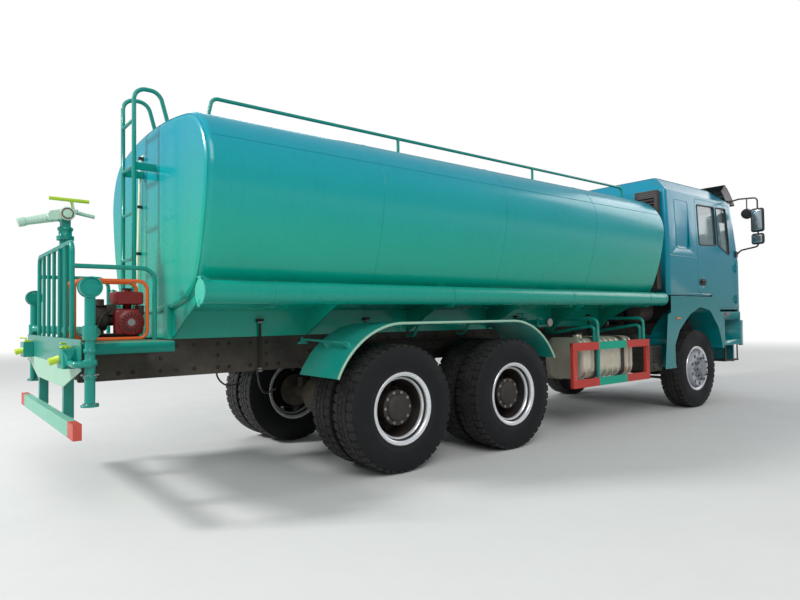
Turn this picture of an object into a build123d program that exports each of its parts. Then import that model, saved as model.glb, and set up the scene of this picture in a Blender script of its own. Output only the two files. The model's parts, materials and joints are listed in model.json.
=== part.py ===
from build123d import *
from math import cos, hypot, radians, sin, sqrt
import os

# A three-axle water tanker truck, in millimetres.
# +X runs forward, +Y to the driver's left and +Z up, from the ground under the middle of the truck.

# Driving dimensions: places along the truck, worked back from the bumper's face
front_x = 4775.0
front_overhang = 1525.0
front_wheelbase = 3975.0
bogie_spacing = 1400.0
front_axle_x = front_x - front_overhang
middle_axle_x = front_axle_x - front_wheelbase
rear_axle_x = middle_axle_x - bogie_spacing
trunnion_x = (middle_axle_x + rear_axle_x) / 2

# Driving dimensions: widths
body_half_width = 1245.0
cab_half_width = 1190.0
front_wheel_y = 1012.0
inner_wheel_y = 765.0
outer_wheel_y = 1095.0

# Wheels: 12R22.5 tyres on 9-inch rims
tyre_radius = 542.0
tyre_half_width = 150.0
bead_radius = 292.0
rim_radius = 298.0
rim_half_width = 124.0
rim_wall = 12.0
disc_wall = 16.0
hub_height = tyre_radius
drum_radius = 205.0
spindle_radius = 42.0
bearing_gap = 0.3

# Chassis frame
rail_outer_y = 430.0
rail_top = 1165.0
rail_height = 290.0
rail_flange = 80.0
rail_wall = 9.0
rail_bottom = rail_top - rail_height
frame_rear_x = -4440.0
frame_front_x = 4600.0
seat_gap = 0.3

# Water tank
tank_rear_x = -3825.0
tank_length = 6090.0
tank_front_x = tank_rear_x + tank_length
tank_top = 2915.0
tank_bottom = 1360.0
tank_head_radius = 60.0

# Cab
cab_rear_x = 2435.0
cab_front_x = 4695.0
cab_floor = 1560.0
cab_waist = 2090.0
cab_gutter = 2980.0
cab_wall = 40.0
tilt_x = 4575.0
tilt_z = 1300.0
tilt_pin_radius = 25.0
tilt_lug_y = 445.0
tilt_lug_wall = 50.0

# Rear platform
platform_rear_x = -4555.0
platform_front_x = -3975.0
platform_half_width = 1050.0
deck_top = 1172.0


def outward_plane(x, y, z):
    """The plane across a wheel: its x runs outward from the truck's middle and its y runs up."""
    side = 1 if y > 0 else -1
    return Plane(origin=(x, y, z), x_dir=(0, side, 0), z_dir=(side, 0, 0))


def add_tube(points, radius, bend):
    """Sweep a round bar along straight runs that join in equal bends."""
    with BuildLine() as route:
        if len(points) > 2:
            FilletPolyline(*points, radius=bend)
        else:
            Line(*points)
    path = route.wires()[0]
    with BuildSketch(Plane(origin=path @ 0, z_dir=path % 0)) as section:
        Circle(radius)
    sweep(sections=section.sketch, path=path)


def add_block(low, high):
    """A rectangular block between two opposite corners."""
    size = [b - a for a, b in zip(low, high)]
    with Locations(low):
        Box(*size, align=(Align.MIN, Align.MIN, Align.MIN))


def cut_block(low, high):
    """Cut away a rectangular block between two opposite corners."""
    size = [b - a for a, b in zip(low, high)]
    with Locations(low):
        Box(*size, align=(Align.MIN, Align.MIN, Align.MIN), mode=Mode.SUBTRACT)


def add_upright(centre, bottom, radius, height):
    """An upright round bar standing on a height."""
    with Locations((*centre, bottom)):
        Cylinder(radius, height, align=(Align.CENTER, Align.CENTER, Align.MIN))


def cut_upright(centre, bottom, radius, height):
    """An upright round bore from a height."""
    with Locations((*centre, bottom)):
        Cylinder(radius, height, align=(Align.CENTER, Align.CENTER, Align.MIN), mode=Mode.SUBTRACT)


def add_plate(plane, outline, thickness):
    """Extrude a flat outline from its plane by a thickness."""
    with BuildSketch(plane) as face:
        Polygon(*outline, align=None)
    extrude(to_extrude=face.sketch, amount=thickness)


def finish(builder, name):
    """Label a finished piece and write it out under its name."""
    builder.part.label = name
    export_step(builder.part, f"parts/{name}.step")


os.makedirs("parts", exist_ok=True)


# Wheels
def add_tyre(axle_x, y):
    """One tyre: a rounded carcass between two beads, closed along the rim's seat."""
    shoulder_radius = tyre_radius - 22
    tread_half_width = tyre_half_width - 28
    with BuildSketch(outward_plane(axle_x, y, hub_height)) as section:
        with BuildLine():
            ThreePointArc((-tread_half_width, shoulder_radius + 12), (0, tyre_radius),
                          (tread_half_width, shoulder_radius + 12))
            for side in (1, -1):
                ThreePointArc((side * tread_half_width, shoulder_radius + 12),
                              (side * tyre_half_width, (bead_radius + tyre_radius) / 2),
                              (side * rim_half_width, bead_radius))
            Line((rim_half_width, bead_radius), (-rim_half_width, bead_radius))
        make_face()
    revolve(profiles=section.sketch, axis=Axis((axle_x, y, hub_height), (0, 1, 0)))


def add_rim(axle_x, y, disc_at):
    """A drop-centre rim; its disc stands at disc_at, measured outward from the rim's middle."""
    well_radius = rim_radius - 36
    flange = 14
    inner = rim_half_width - 2 * flange
    toward = 1 if disc_at > 0 else -1
    with BuildSketch(outward_plane(axle_x, y, hub_height)) as section:
        Polygon((-rim_half_width, rim_radius), (-rim_half_width, bead_radius - rim_wall),
                (-inner, bead_radius - 2 * rim_wall), (-inner / 2, well_radius - rim_wall),
                (inner / 2, well_radius - rim_wall), (inner, bead_radius - 2 * rim_wall),
                (rim_half_width, bead_radius - rim_wall), (rim_half_width, rim_radius),
                (rim_half_width - flange, bead_radius), (flange - rim_half_width, bead_radius),
                align=None)
        Polygon((toward * inner / 2, well_radius), (toward * inner / 2, well_radius - 2 * rim_wall),
                (disc_at - toward * disc_wall, hub_radius + 55), (disc_at - toward * disc_wall, 60),
                (disc_at, 60), (disc_at, hub_radius + 60),
                (toward * inner / 2 + toward * disc_wall, well_radius), align=None)
    revolve(profiles=section.sketch, axis=Axis((axle_x, y, hub_height), (0, 1, 0)))


def cut_hand_holes(axle_x, y, depth):
    """Ten hand holes through the disc, in a ring about the hub."""
    side = 1 if y > 0 else -1
    plane = Plane(origin=(axle_x, y, hub_height), x_dir=(1, 0, 0), z_dir=(0, side, 0))
    with BuildSketch(plane) as holes:
        with PolarLocations(hand_hole_pitch, hand_hole_count):
            Circle(hand_hole_radius)
    extrude(to_extrude=holes.sketch, amount=depth, both=True, mode=Mode.SUBTRACT)


def add_turned(axle_x, y, outline):
    """Turn an outline of outward and radial distances about a wheel's axle."""
    with BuildSketch(outward_plane(axle_x, y, hub_height)) as section:
        Polygon(*outline, align=None)
    revolve(profiles=section.sketch, axis=Axis((axle_x, y, hub_height), (0, 1, 0)))


hub_radius = 118.0
hand_hole_pitch = 206.0
hand_hole_radius = 27.0
hand_hole_count = 10
front_disc_at = 168.0
front_hub_length = 62.0
dual_half = (outer_wheel_y - inner_wheel_y) / 2
twin_middle_y = (outer_wheel_y + inner_wheel_y) / 2
drum_depth = 215.0
drum_wall = 14.0
rear_hub_length = 250.0
bore_radius = spindle_radius + bearing_gap
bore_depth = 150.0

for side, hand in ((1, "left"), (-1, "right")):
    y = side * front_wheel_y
    with BuildPart() as wheel:
        add_tyre(front_axle_x, y)
        add_rim(front_axle_x, y, front_disc_at)
        cut_hand_holes(front_axle_x, y + side * front_disc_at, 70)
        add_turned(front_axle_x, y, (
            (front_disc_at - disc_wall, bore_radius), (front_disc_at - drum_depth, bore_radius),
            (front_disc_at - drum_depth, 70), (front_disc_at - 2 * disc_wall, 90),
            (front_disc_at - 2 * disc_wall, drum_radius - drum_wall),
            (front_disc_at - drum_depth + 40, drum_radius - drum_wall),
            (front_disc_at - drum_depth + 40, drum_radius), (front_disc_at - disc_wall, drum_radius),
            (front_disc_at - disc_wall, hub_radius), (front_disc_at, hub_radius),
            (front_disc_at + front_hub_length - 12, 92), (front_disc_at + front_hub_length, 80),
            (front_disc_at + front_hub_length, 0), (front_disc_at - disc_wall, 0)))
    finish(wheel, f"front_wheel_{hand}")

for axle_x, place in ((middle_axle_x, "middle"), (rear_axle_x, "rear")):
    for side, hand in ((1, "left"), (-1, "right")):
        y = side * twin_middle_y
        with BuildPart() as wheel:
            for sign in (1, -1):
                add_tyre(axle_x, side * (twin_middle_y + sign * dual_half))
                add_rim(axle_x, side * (twin_middle_y + sign * dual_half), -sign * dual_half)
            cut_hand_holes(axle_x, y, 90)
            add_turned(axle_x, y, (
                (bore_depth, 0), (bore_depth, bore_radius), (-drum_depth - 30, bore_radius),
                (-drum_depth - 30, 68), (-disc_wall * 2, 90), (-disc_wall * 2, drum_radius - drum_wall),
                (-drum_depth, drum_radius - drum_wall), (-drum_depth, drum_radius),
                (-disc_wall, drum_radius), (-disc_wall, hub_radius + 20), (disc_wall, hub_radius + 20),
                (disc_wall, 140), (rear_hub_length - 60, 132), (rear_hub_length - 45, hub_radius),
                (rear_hub_length, hub_radius - 8), (rear_hub_length, 0)))
        finish(wheel, f"{place}_wheels_{hand}")

# Steering knuckles, tie rod and front axle
kingpin_y = 840.0
kingpin_radius = 24.0
lug_radius = 46.0
eye_half_height = 55.0
lug_height = 34.0
arm_reach = 230.0
arm_z = hub_height - eye_half_height - seat_gap - lug_height
arm_thickness = 30.0
tie_pin_radius = 14.0
tie_rod_z = arm_z - arm_thickness - seat_gap

for side, hand in ((1, "left"), (-1, "right")):
    pin_y = side * kingpin_y
    with BuildPart() as knuckle:
        for lug_bottom in (arm_z, hub_height + eye_half_height + seat_gap):
            with BuildSketch(Plane.XY.offset(lug_bottom)) as lug:
                with Locations((front_axle_x, pin_y)):
                    Circle(lug_radius)
                with Locations((front_axle_x, pin_y + side * 50)):
                    Rectangle(2 * lug_radius, 60)
            extrude(to_extrude=lug.sketch, amount=lug_height)
        spindle_end = front_wheel_y - kingpin_y + front_disc_at - disc_wall - 2
        add_turned(front_axle_x, pin_y, (
            (lug_radius + 4, 0), (lug_radius + 4, 88), (lug_radius + 26, 88),
            (lug_radius + 34, spindle_radius + 16), (lug_radius + 56, spindle_radius),
            (spindle_end, spindle_radius), (spindle_end, 0)))
        with BuildSketch(Plane.XY.offset(arm_z - arm_thickness)) as arm:
            with BuildLine():
                Polyline((front_axle_x + 30, pin_y + 30), (front_axle_x + 30, pin_y - 30),
                         (front_axle_x - arm_reach, pin_y - 20), (front_axle_x - arm_reach, pin_y + 20),
                         (front_axle_x + 30, pin_y + 30))
            make_face()
            with Locations((front_axle_x - arm_reach, pin_y)):
                Circle(26)
        extrude(to_extrude=arm.sketch, amount=arm_thickness)
        with BuildSketch(Plane.XY.offset(arm_z - 1)) as pin_hole:
            with Locations((front_axle_x, pin_y)):
                Circle(kingpin_radius + seat_gap)
        extrude(to_extrude=pin_hole.sketch, amount=300, mode=Mode.SUBTRACT)
        with BuildSketch(Plane.XY.offset(tie_rod_z - 44)) as tie_pin:
            with Locations((front_axle_x - arm_reach, pin_y)):
                Circle(tie_pin_radius)
        extrude(to_extrude=tie_pin.sketch, amount=44 + seat_gap)
    finish(knuckle, f"knuckle_{hand}")

tie_eye_radius = 30.0
tie_rod_radius = 22.0
with BuildPart() as tie_rod:
    with BuildSketch(Plane.XY.offset(tie_rod_z - 40)) as eyes:
        for side in (1, -1):
            with Locations((front_axle_x - arm_reach, side * kingpin_y)):
                Circle(tie_eye_radius)
    extrude(to_extrude=eyes.sketch, amount=40)
    rod_end = kingpin_y - tie_pin_radius - 8
    with BuildSketch(Plane.XZ.offset(-rod_end)) as rod:
        with Locations((front_axle_x - arm_reach, tie_rod_z - 20)):
            Circle(tie_rod_radius - 3)
    extrude(to_extrude=rod.sketch, amount=2 * rod_end)
    with BuildSketch(Plane.XY.offset(tie_rod_z - 41)) as holes:
        for side in (1, -1):
            with Locations((front_axle_x - arm_reach, side * kingpin_y)):
                Circle(tie_pin_radius + seat_gap)
    extrude(to_extrude=holes.sketch, amount=42, mode=Mode.SUBTRACT)
finish(tie_rod, "tie_rod")

front_spring_y = 390.0
spring_width = 90.0
front_seat_z = 610.0
beam_drop = 70.0
beam_half_depth = 46.0
with BuildPart() as front_axle:
    beam_top = hub_height + eye_half_height
    beam_bottom = hub_height - eye_half_height
    drop_start = 700.0
    drop_end = 560.0
    with BuildSketch(Plane.YZ.offset(front_axle_x - beam_half_depth)) as beam:
        Polygon((-kingpin_y, beam_top), (-drop_start, beam_top), (-drop_end, beam_top - beam_drop + 25),
                (drop_end, beam_top - beam_drop + 25), (drop_start, beam_top), (kingpin_y, beam_top),
                (kingpin_y, beam_bottom), (drop_start + 20, beam_bottom), (drop_end, beam_bottom - beam_drop),
                (-drop_end, beam_bottom - beam_drop), (-drop_start - 20, beam_bottom),
                (-kingpin_y, beam_bottom), align=None)
    extrude(to_extrude=beam.sketch, amount=2 * beam_half_depth)
    # The web of the beam is thinner than its two flanges
    for face_x, away in ((front_axle_x - beam_half_depth, 1), (front_axle_x + beam_half_depth, -1)):
        with BuildSketch(Plane.YZ.offset(face_x)) as web:
            Polygon((-drop_start, beam_top - 22), (-drop_end, beam_top - beam_drop + 3),
                    (drop_end, beam_top - beam_drop + 3), (drop_start, beam_top - 22),
                    (drop_start, beam_bottom + 22), (drop_end, beam_bottom - beam_drop + 22),
                    (-drop_end, beam_bottom - beam_drop + 22), (-drop_start, beam_bottom + 22), align=None)
        extrude(to_extrude=web.sketch, amount=away * 30, mode=Mode.SUBTRACT)
    for side in (1, -1):
        add_block((front_axle_x - 90, side * front_spring_y - spring_width / 2, beam_top - beam_drop),
                  (front_axle_x + 90, side * front_spring_y + spring_width / 2, front_seat_z - seat_gap))
        with BuildSketch(Plane.XY.offset(beam_bottom)) as eye:
            with Locations((front_axle_x, side * kingpin_y)):
                Circle(lug_radius)
        extrude(to_extrude=eye.sketch, amount=2 * eye_half_height)
        with BuildSketch(Plane.XY.offset(arm_z)) as kingpin:
            with Locations((front_axle_x, side * kingpin_y)):
                Circle(kingpin_radius)
        extrude(to_extrude=kingpin.sketch, amount=2 * (hub_height - arm_z))
finish(front_axle, "front_axle")

# Leaf springs
leaf_thickness = 18.0
front_leaf_halves = (780.0, 660.0, 520.0, 380.0, 240.0)
front_camber = 110.0
eye_radius = 32.0
bogie_leaf_halves = (760.0, 640.0, 500.0, 360.0, 220.0)
bogie_camber = 50.0
bogie_spring_y = 430.0
bogie_seat_z = 680.0
front_pack_top = front_seat_z + len(front_leaf_halves) * leaf_thickness
front_eye_z = front_pack_top + front_camber - leaf_thickness / 2
front_eye_x = front_leaf_halves[0]
bogie_pack_bottom = bogie_seat_z + seat_gap + bogie_camber


def arc_radius(half, camber):
    """The radius of an arc that rises by its camber over half its length."""
    return (half * half + camber * camber) / (2 * camber)


def add_leaf(plane, half, near_radius, up):
    """One leaf about the plane's origin, which lies above it (up = -1) or below it (up = 1)."""
    far_radius = near_radius + leaf_thickness

    def height(radius, reach):
        """The height of an arc of this radius at a distance along the leaf."""
        return up * sqrt(radius * radius - reach * reach)

    with BuildSketch(plane) as leaf:
        with BuildLine():
            near = ThreePointArc((-half, height(near_radius, half)), (0, height(near_radius, 0)),
                                 (half, height(near_radius, half)))
            far = ThreePointArc((half, height(far_radius, half)), (0, height(far_radius, 0)),
                                (-half, height(far_radius, half)))
            Line(near @ 1, far @ 0)
            Line(far @ 1, near @ 0)
        make_face()
    extrude(to_extrude=leaf.sketch, amount=spring_width / 2, both=True)


with BuildPart() as leaf_springs:
    front_radius = arc_radius(front_leaf_halves[0], front_camber)
    bogie_radius = arc_radius(bogie_leaf_halves[0], bogie_camber)
    for side in (1, -1):
        centre = (front_axle_x, side * front_spring_y, front_pack_top + front_radius)
        for row, half in enumerate(front_leaf_halves):
            add_leaf(Plane(origin=centre, x_dir=(1, 0, 0), z_dir=(0, -1, 0)),
                     half, front_radius + row * leaf_thickness, -1)
        for end in (1, -1):
            eye_x = front_axle_x + end * front_eye_x
            add_tube(((eye_x, side * front_spring_y - spring_width / 2, front_eye_z),
                      (eye_x, side * front_spring_y + spring_width / 2, front_eye_z)), eye_radius, 0)
        centre = (trunnion_x, side * bogie_spring_y, bogie_pack_bottom - bogie_radius)
        for row, half in enumerate(bogie_leaf_halves):
            add_leaf(Plane(origin=centre, x_dir=(1, 0, 0), z_dir=(0, -1, 0)),
                     half, bogie_radius + row * leaf_thickness, 1)
finish(leaf_springs, "leaf_springs")

# Drive axles with their differentials and shafts
housing_end_y = 640.0
housing_end_radius = 76.0
housing_radius = 92.0
differential_radius = 212.0
differential_half = 300.0
backplate_radius = 170.0
nose_length = 430.0
nose_radius = 72.0
shaft_radius = 45.0
shaft_z = 545.0
gearbox_rear_x = 1850.0
gearbox_z = 790.0
rear_spindle_end = twin_middle_y + bore_depth - 10
bogie_seat_half = bogie_leaf_halves[0] - (middle_axle_x - trunnion_x)
with BuildPart() as drive_axles:
    for axle_x in (middle_axle_x, rear_axle_x):
        with BuildSketch(Plane.XY.offset(hub_height)) as housing:
            with BuildLine():
                Polyline((axle_x, -housing_end_y), (axle_x + housing_end_radius, -housing_end_y),
                         (axle_x + housing_radius, -differential_half))
                ThreePointArc((axle_x + housing_radius, -differential_half), (axle_x + differential_radius, 0),
                              (axle_x + housing_radius, differential_half))
                Polyline((axle_x + housing_radius, differential_half),
                         (axle_x + housing_end_radius, housing_end_y), (axle_x, housing_end_y),
                         (axle_x, -housing_end_y))
            make_face()
        revolve(profiles=housing.sketch, axis=Axis((axle_x, 0, hub_height), (0, 1, 0)))
        with BuildSketch(Plane.YZ.offset(axle_x)) as nose_root:
            with Locations((0, hub_height + 10)):
                Circle(150)
        with BuildSketch(Plane.YZ.offset(axle_x + nose_length)) as nose_end:
            with Locations((0, shaft_z)):
                Circle(nose_radius)
        loft(sections=[nose_root.sketch, nose_end.sketch])
        for side in (1, -1):
            add_turned(axle_x, side * housing_end_y, (
                (-20, 0), (-20, backplate_radius), (4, backplate_radius), (4, 60), (16, spindle_radius),
                (rear_spindle_end - housing_end_y, spindle_radius), (rear_spindle_end - housing_end_y, 0)))
            add_block((axle_x - bogie_seat_half, side * bogie_spring_y - spring_width / 2, hub_height),
                      (axle_x + bogie_seat_half, side * bogie_spring_y + spring_width / 2, bogie_seat_z))
    add_tube(((rear_axle_x + nose_length - 5, 0, shaft_z), (middle_axle_x - 120, 0, shaft_z)), shaft_radius, 0)
    add_tube(((middle_axle_x + nose_length - 5, 0, shaft_z), (gearbox_rear_x - 8, 0, gearbox_z)),
             shaft_radius, 0)
finish(drive_axles, "drive_axles")

# Chassis frame: two channel rails, cross members, spring hangers and the bogie's trunnion
cross_member_rows = (
    # place along X, height of the member
    (frame_front_x - 100.0, 200.0),
    (1650.0, 220.0),
    (700.0, 220.0),
    (-150.0, 220.0),
    (-2900.0, 220.0),
    (frame_rear_x + 6.0, 270.0),
)
cross_wall = 8.0
cross_flange = 60.0
hanger_half = 75.0
hanger_cheek = 12.0
trunnion_radius = 55.0
trunnion_z = bogie_pack_bottom - seat_gap - 70
trunnion_plate = 32.0
saddle_half = 80.0
saddle_top = bogie_pack_bottom - saddle_half ** 2 / (2 * bogie_radius) - seat_gap
with BuildPart() as chassis_frame:
    with BuildSketch(Plane.YZ.offset(frame_rear_x)) as rail_sections:
        for side in (1, -1):
            web = side * (rail_outer_y - rail_wall)
            lip = side * (rail_outer_y - rail_flange)
            Polygon((side * rail_outer_y, rail_bottom), (side * rail_outer_y, rail_top), (lip, rail_top),
                    (lip, rail_top - rail_wall), (web, rail_top - rail_wall), (web, rail_bottom + rail_wall),
                    (lip, rail_bottom + rail_wall), (lip, rail_bottom), align=None)
    extrude(to_extrude=rail_sections.sketch, amount=frame_front_x - frame_rear_x)
    for place, height in cross_member_rows:
        low = rail_bottom + rail_wall
        with BuildSketch(Plane.XZ.offset(-rail_outer_y + rail_wall)) as member:
            Polygon((place, low), (place, low + height), (place + cross_flange, low + height),
                    (place + cross_flange, low + height - cross_wall),
                    (place + cross_wall, low + height - cross_wall),
                    (place + cross_wall, low + cross_wall), (place + cross_flange, low + cross_wall),
                    (place + cross_flange, low), align=None)
        extrude(to_extrude=member.sketch, amount=2 * (rail_outer_y - rail_wall))
    for side in (1, -1):
        near_cheek = side * front_spring_y - spring_width / 2 - seat_gap - hanger_cheek
        far_cheek = side * front_spring_y + spring_width / 2 + seat_gap
        for end in (1, -1):
            eye_x = front_axle_x + end * front_eye_x
            add_block((eye_x - hanger_half, near_cheek, rail_bottom - 22),
                      (eye_x + hanger_half, far_cheek + hanger_cheek, rail_bottom))
            for cheek in (near_cheek, far_cheek):
                with BuildSketch(Plane.XZ.offset(-cheek)) as hanger:
                    Polygon((eye_x - hanger_half, rail_bottom - 22), (eye_x + hanger_half, rail_bottom - 22),
                            (eye_x + 34, front_eye_z - 40), (eye_x - 34, front_eye_z - 40), align=None)
                extrude(to_extrude=hanger.sketch, amount=-hanger_cheek)
        plate_y = side * (rail_outer_y - rail_flange)
        with BuildSketch(Plane.XZ.offset(-plate_y)) as bracket:
            Polygon((trunnion_x - 260, rail_bottom), (trunnion_x + 260, rail_bottom),
                    (trunnion_x + 80, trunnion_z - 70), (trunnion_x - 80, trunnion_z - 70), align=None)
        extrude(to_extrude=bracket.sketch, amount=-side * trunnion_plate)
        add_block((trunnion_x - saddle_half, side * bogie_spring_y - spring_width / 2, trunnion_z),
                  (trunnion_x + saddle_half, side * bogie_spring_y + spring_width / 2, saddle_top))
        # The cab's tilt pin stands on the rail's front end, and its rear mount behind the engine
        pin_start = side * (rail_outer_y - 45)
        add_plate(Plane.XZ.offset(-side * (rail_outer_y - 30)), (
            (tilt_x - 130, rail_top - 2), (tilt_x + 25, rail_top - 2), (tilt_x + 44, tilt_z),
            (tilt_x, tilt_z + 44), (tilt_x - 44, tilt_z)), -side * 30)
        add_tube(((tilt_x, pin_start, tilt_z), (tilt_x, side * (tilt_lug_y + tilt_lug_wall + 12), tilt_z)),
                 tilt_pin_radius, 0)
        low_y = min(side * (rail_outer_y - 60), side * rail_outer_y)
        add_block((cab_rear_x + 60, low_y, rail_top - 2), (cab_rear_x + 150, low_y + 60, cab_floor - seat_gap))
    shaft_end = bogie_spring_y + spring_width / 2 + 15
    add_tube(((trunnion_x, -shaft_end, trunnion_z), (trunnion_x, shaft_end, trunnion_z)), trunnion_radius, 0)
finish(chassis_frame, "chassis_frame")

# Engine and gearbox, a plain block between the rails
engine_half_width = 330.0
engine_bottom = 640.0
engine_top = 1490.0
engine_rear_x = 2880.0
engine_front_x = 4250.0
gearbox_half_width = 230.0
with BuildPart() as engine:
    add_block((engine_rear_x, -engine_half_width, engine_bottom), (engine_front_x, engine_half_width, engine_top))
    add_block((gearbox_rear_x, -gearbox_half_width, engine_bottom), (engine_rear_x, gearbox_half_width, 1130))
    mount_end = rail_outer_y - rail_wall - seat_gap
    for mount_x in (engine_rear_x + 200, engine_front_x - 220):
        add_block((mount_x, -mount_end, 980), (mount_x + 120, mount_end, 1050))
finish(engine, "engine")

# Water tank
crown_edge = (870.0, 2835.0)
widest = (body_half_width, 2330.0)
lower_side = (1090.0, 1700.0)
belly_edge = (800.0, 1450.0)
manhole_x = -700.0
manhole_radius = 250.0
manhole_top = tank_top + 80
hose_tube_y = 1160.0
hose_tube_z = 1505.0
hose_tube_radius = 84.0
hose_tube_wall = 4.0
hose_tube_rear_x = tank_rear_x - 10
hose_tube_front_x = 2345.0
hose_bracket_xs = (-3300.0, -1500.0, 300.0, 1900.0)
hose_bracket_half = 30.0
hose_bracket_outline = ((840, 1480), (900, 1400), (1180, 1400), (1180, 1470), (1100, 1570), (985, 1610))


def tank_outline():
    """The tank's outline in the YZ plane, a closed chain of arcs about its middle."""
    with BuildLine() as chain:
        right = TangentArc((0, tank_top), crown_edge, tangent=(1, 0))
        for end in (widest, lower_side, belly_edge):
            right = TangentArc(right @ 1, end, tangent=right % 1)
        ThreePointArc(right @ 1, (0, tank_bottom), (-belly_edge[0], belly_edge[1]))
        left = TangentArc((0, tank_top), (-crown_edge[0], crown_edge[1]), tangent=(-1, 0))
        for end in (widest, lower_side, belly_edge):
            left = TangentArc(left @ 1, (-end[0], end[1]), tangent=left % 1)
    return chain.line


def tank_solid():
    """The closed tank body with its rounded head edges."""
    with BuildPart() as body:
        with BuildSketch(Plane.YZ.offset(tank_rear_x)):
            with BuildLine():
                add(tank_outline())
            make_face()
        extrude(amount=tank_length)
        fillet(body.edges().group_by(Axis.X)[0] + body.edges().group_by(Axis.X)[-1], tank_head_radius)
    return body.part


tank_body = tank_solid()
with BuildPart() as tank:
    add(tank_body)
    with BuildSketch(Plane.XY.offset(tank_top - 60)) as neck:
        with Locations((manhole_x, 0)):
            Circle(manhole_radius)
    extrude(to_extrude=neck.sketch, amount=manhole_top - tank_top + 60)
    with BuildSketch(Plane.XY.offset(tank_bottom - 60)) as sump:
        with Locations((600, 0)):
            Circle(90)
    extrude(to_extrude=sump.sketch, amount=120)
finish(tank, "tank")

# Manhole lid, hinged at its rear edge
lid_radius = manhole_radius + 22
lid_thickness = 34.0
hinge_radius = 13.0
lid_hinge_x = manhole_x - lid_radius - 18
lid_hinge_z = manhole_top + seat_gap + lid_thickness / 2
with BuildPart() as manhole_lid:
    with BuildSketch(Plane.XZ) as lid_section:
        with BuildLine():
            Polyline((manhole_x, manhole_top + seat_gap), (manhole_x + lid_radius, manhole_top + seat_gap),
                     (manhole_x + lid_radius, manhole_top + seat_gap + 16))
            ThreePointArc((manhole_x + lid_radius, manhole_top + seat_gap + 16),
                          (manhole_x + lid_radius * 0.55, manhole_top + seat_gap + lid_thickness - 4),
                          (manhole_x, manhole_top + seat_gap + lid_thickness))
            Line((manhole_x, manhole_top + seat_gap + lid_thickness), (manhole_x, manhole_top + seat_gap))
        make_face()
    revolve(profiles=lid_section.sketch, axis=Axis((manhole_x, 0, 0), (0, 0, 1)))
    add_block((lid_hinge_x, -60, manhole_top + seat_gap), (manhole_x - lid_radius + 12, 60, manhole_top + 16))
    add_tube(((lid_hinge_x, -60, lid_hinge_z), (lid_hinge_x, 60, lid_hinge_z)), hinge_radius, 0)
    handle_x = manhole_x + lid_radius * 0.6
    handle_top = manhole_top + lid_thickness + 30
    add_tube(((handle_x, -60, manhole_top + 20), (handle_x, -60, handle_top),
              (handle_x, 60, handle_top), (handle_x, 60, manhole_top + 20)), 7, 14)
finish(manhole_lid, "manhole_lid")

# Tank bearers: two sills on the rails with saddles that follow the belly
bearer_inner_y = 350.0
saddle_xs = (-3790.0, -2600.0, -1425.0, -250.0, 925.0, 1965.0)
saddle_thickness = 12.0
saddle_reach = 960.0
with BuildPart() as tank_bearers:
    for side in (1, -1):
        add_block((tank_rear_x, side * (bearer_inner_y + 40) - 40, rail_top + seat_gap),
                  (tank_front_x - 60, side * (bearer_inner_y + 40) + 40, 1430))
    for place in saddle_xs:
        with BuildSketch(Plane.YZ.offset(place)) as web:
            Polygon((-rail_outer_y, rail_top + seat_gap), (rail_outer_y, rail_top + seat_gap),
                    (saddle_reach, 1440), (saddle_reach, 1600), (-saddle_reach, 1600),
                    (-saddle_reach, 1440), align=None)
        extrude(to_extrude=web.sketch, amount=saddle_thickness)
    add(tank_body, mode=Mode.SUBTRACT)
finish(tank_bearers, "tank_bearers")

# Ladder at the rear head and the two handrails along the top
handrail_y = 680.0
handrail_top = 3035.0
handrail_radius = 15.0
handrail_post_xs = (-1715.0, 295.0)
handrail_rear_x = -3600.0
handrail_front_x = 2200.0
ladder_x = -3995.0
ladder_y = 8.0
ladder_half_width = 161.0
ladder_radius = 17.0
ladder_crest = 3183.0
rung_bottom = 1435.0
rung_step = 372.0
rung_count = 5
bracket_row = 3


def tank_surface(y):
    """The height of the tank's crown at a distance from its middle."""
    rise = tank_top - crown_edge[1]
    crown_radius = arc_radius(crown_edge[0], rise)
    return tank_top - crown_radius + sqrt(crown_radius ** 2 - y ** 2)


with BuildPart() as ladder_and_handrails:
    for side in (1, -1):
        rail_y = side * handrail_y
        foot = tank_surface(handrail_y) - 4
        add_tube(((handrail_rear_x, rail_y, foot), (handrail_rear_x + 40, rail_y, handrail_top),
                  (handrail_front_x - 30, rail_y, handrail_top), (handrail_front_x, rail_y, foot)),
                 handrail_radius, 60)
        for post_x in handrail_post_xs:
            add_tube(((post_x, rail_y, foot), (post_x, rail_y, handrail_top)), handrail_radius, 0)
    for side in (1, -1):
        rail_y = ladder_y + side * ladder_half_width
        top_foot = tank_surface(abs(rail_y)) - 4
        add_tube(((ladder_x, rail_y, deck_top), (ladder_x, rail_y, ladder_crest),
                  (ladder_x + 200, rail_y, ladder_crest), (ladder_x + 275, rail_y, top_foot)),
                 ladder_radius, 95)
    for row in range(rung_count):
        rung_z = rung_bottom + row * rung_step
        add_tube(((ladder_x, ladder_y - ladder_half_width, rung_z),
                  (ladder_x, ladder_y + ladder_half_width, rung_z)), ladder_radius - 4, 0)
    bracket_z = rung_bottom + bracket_row * rung_step
    for side in (1, -1):
        rail_y = ladder_y + side * ladder_half_width
        add_block((ladder_x, rail_y - 6, bracket_z - 30), (tank_rear_x + 0.5, rail_y + 6, bracket_z + 30))
    add(tank_body, mode=Mode.SUBTRACT)
finish(ladder_and_handrails, "ladder_and_handrails")

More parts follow.
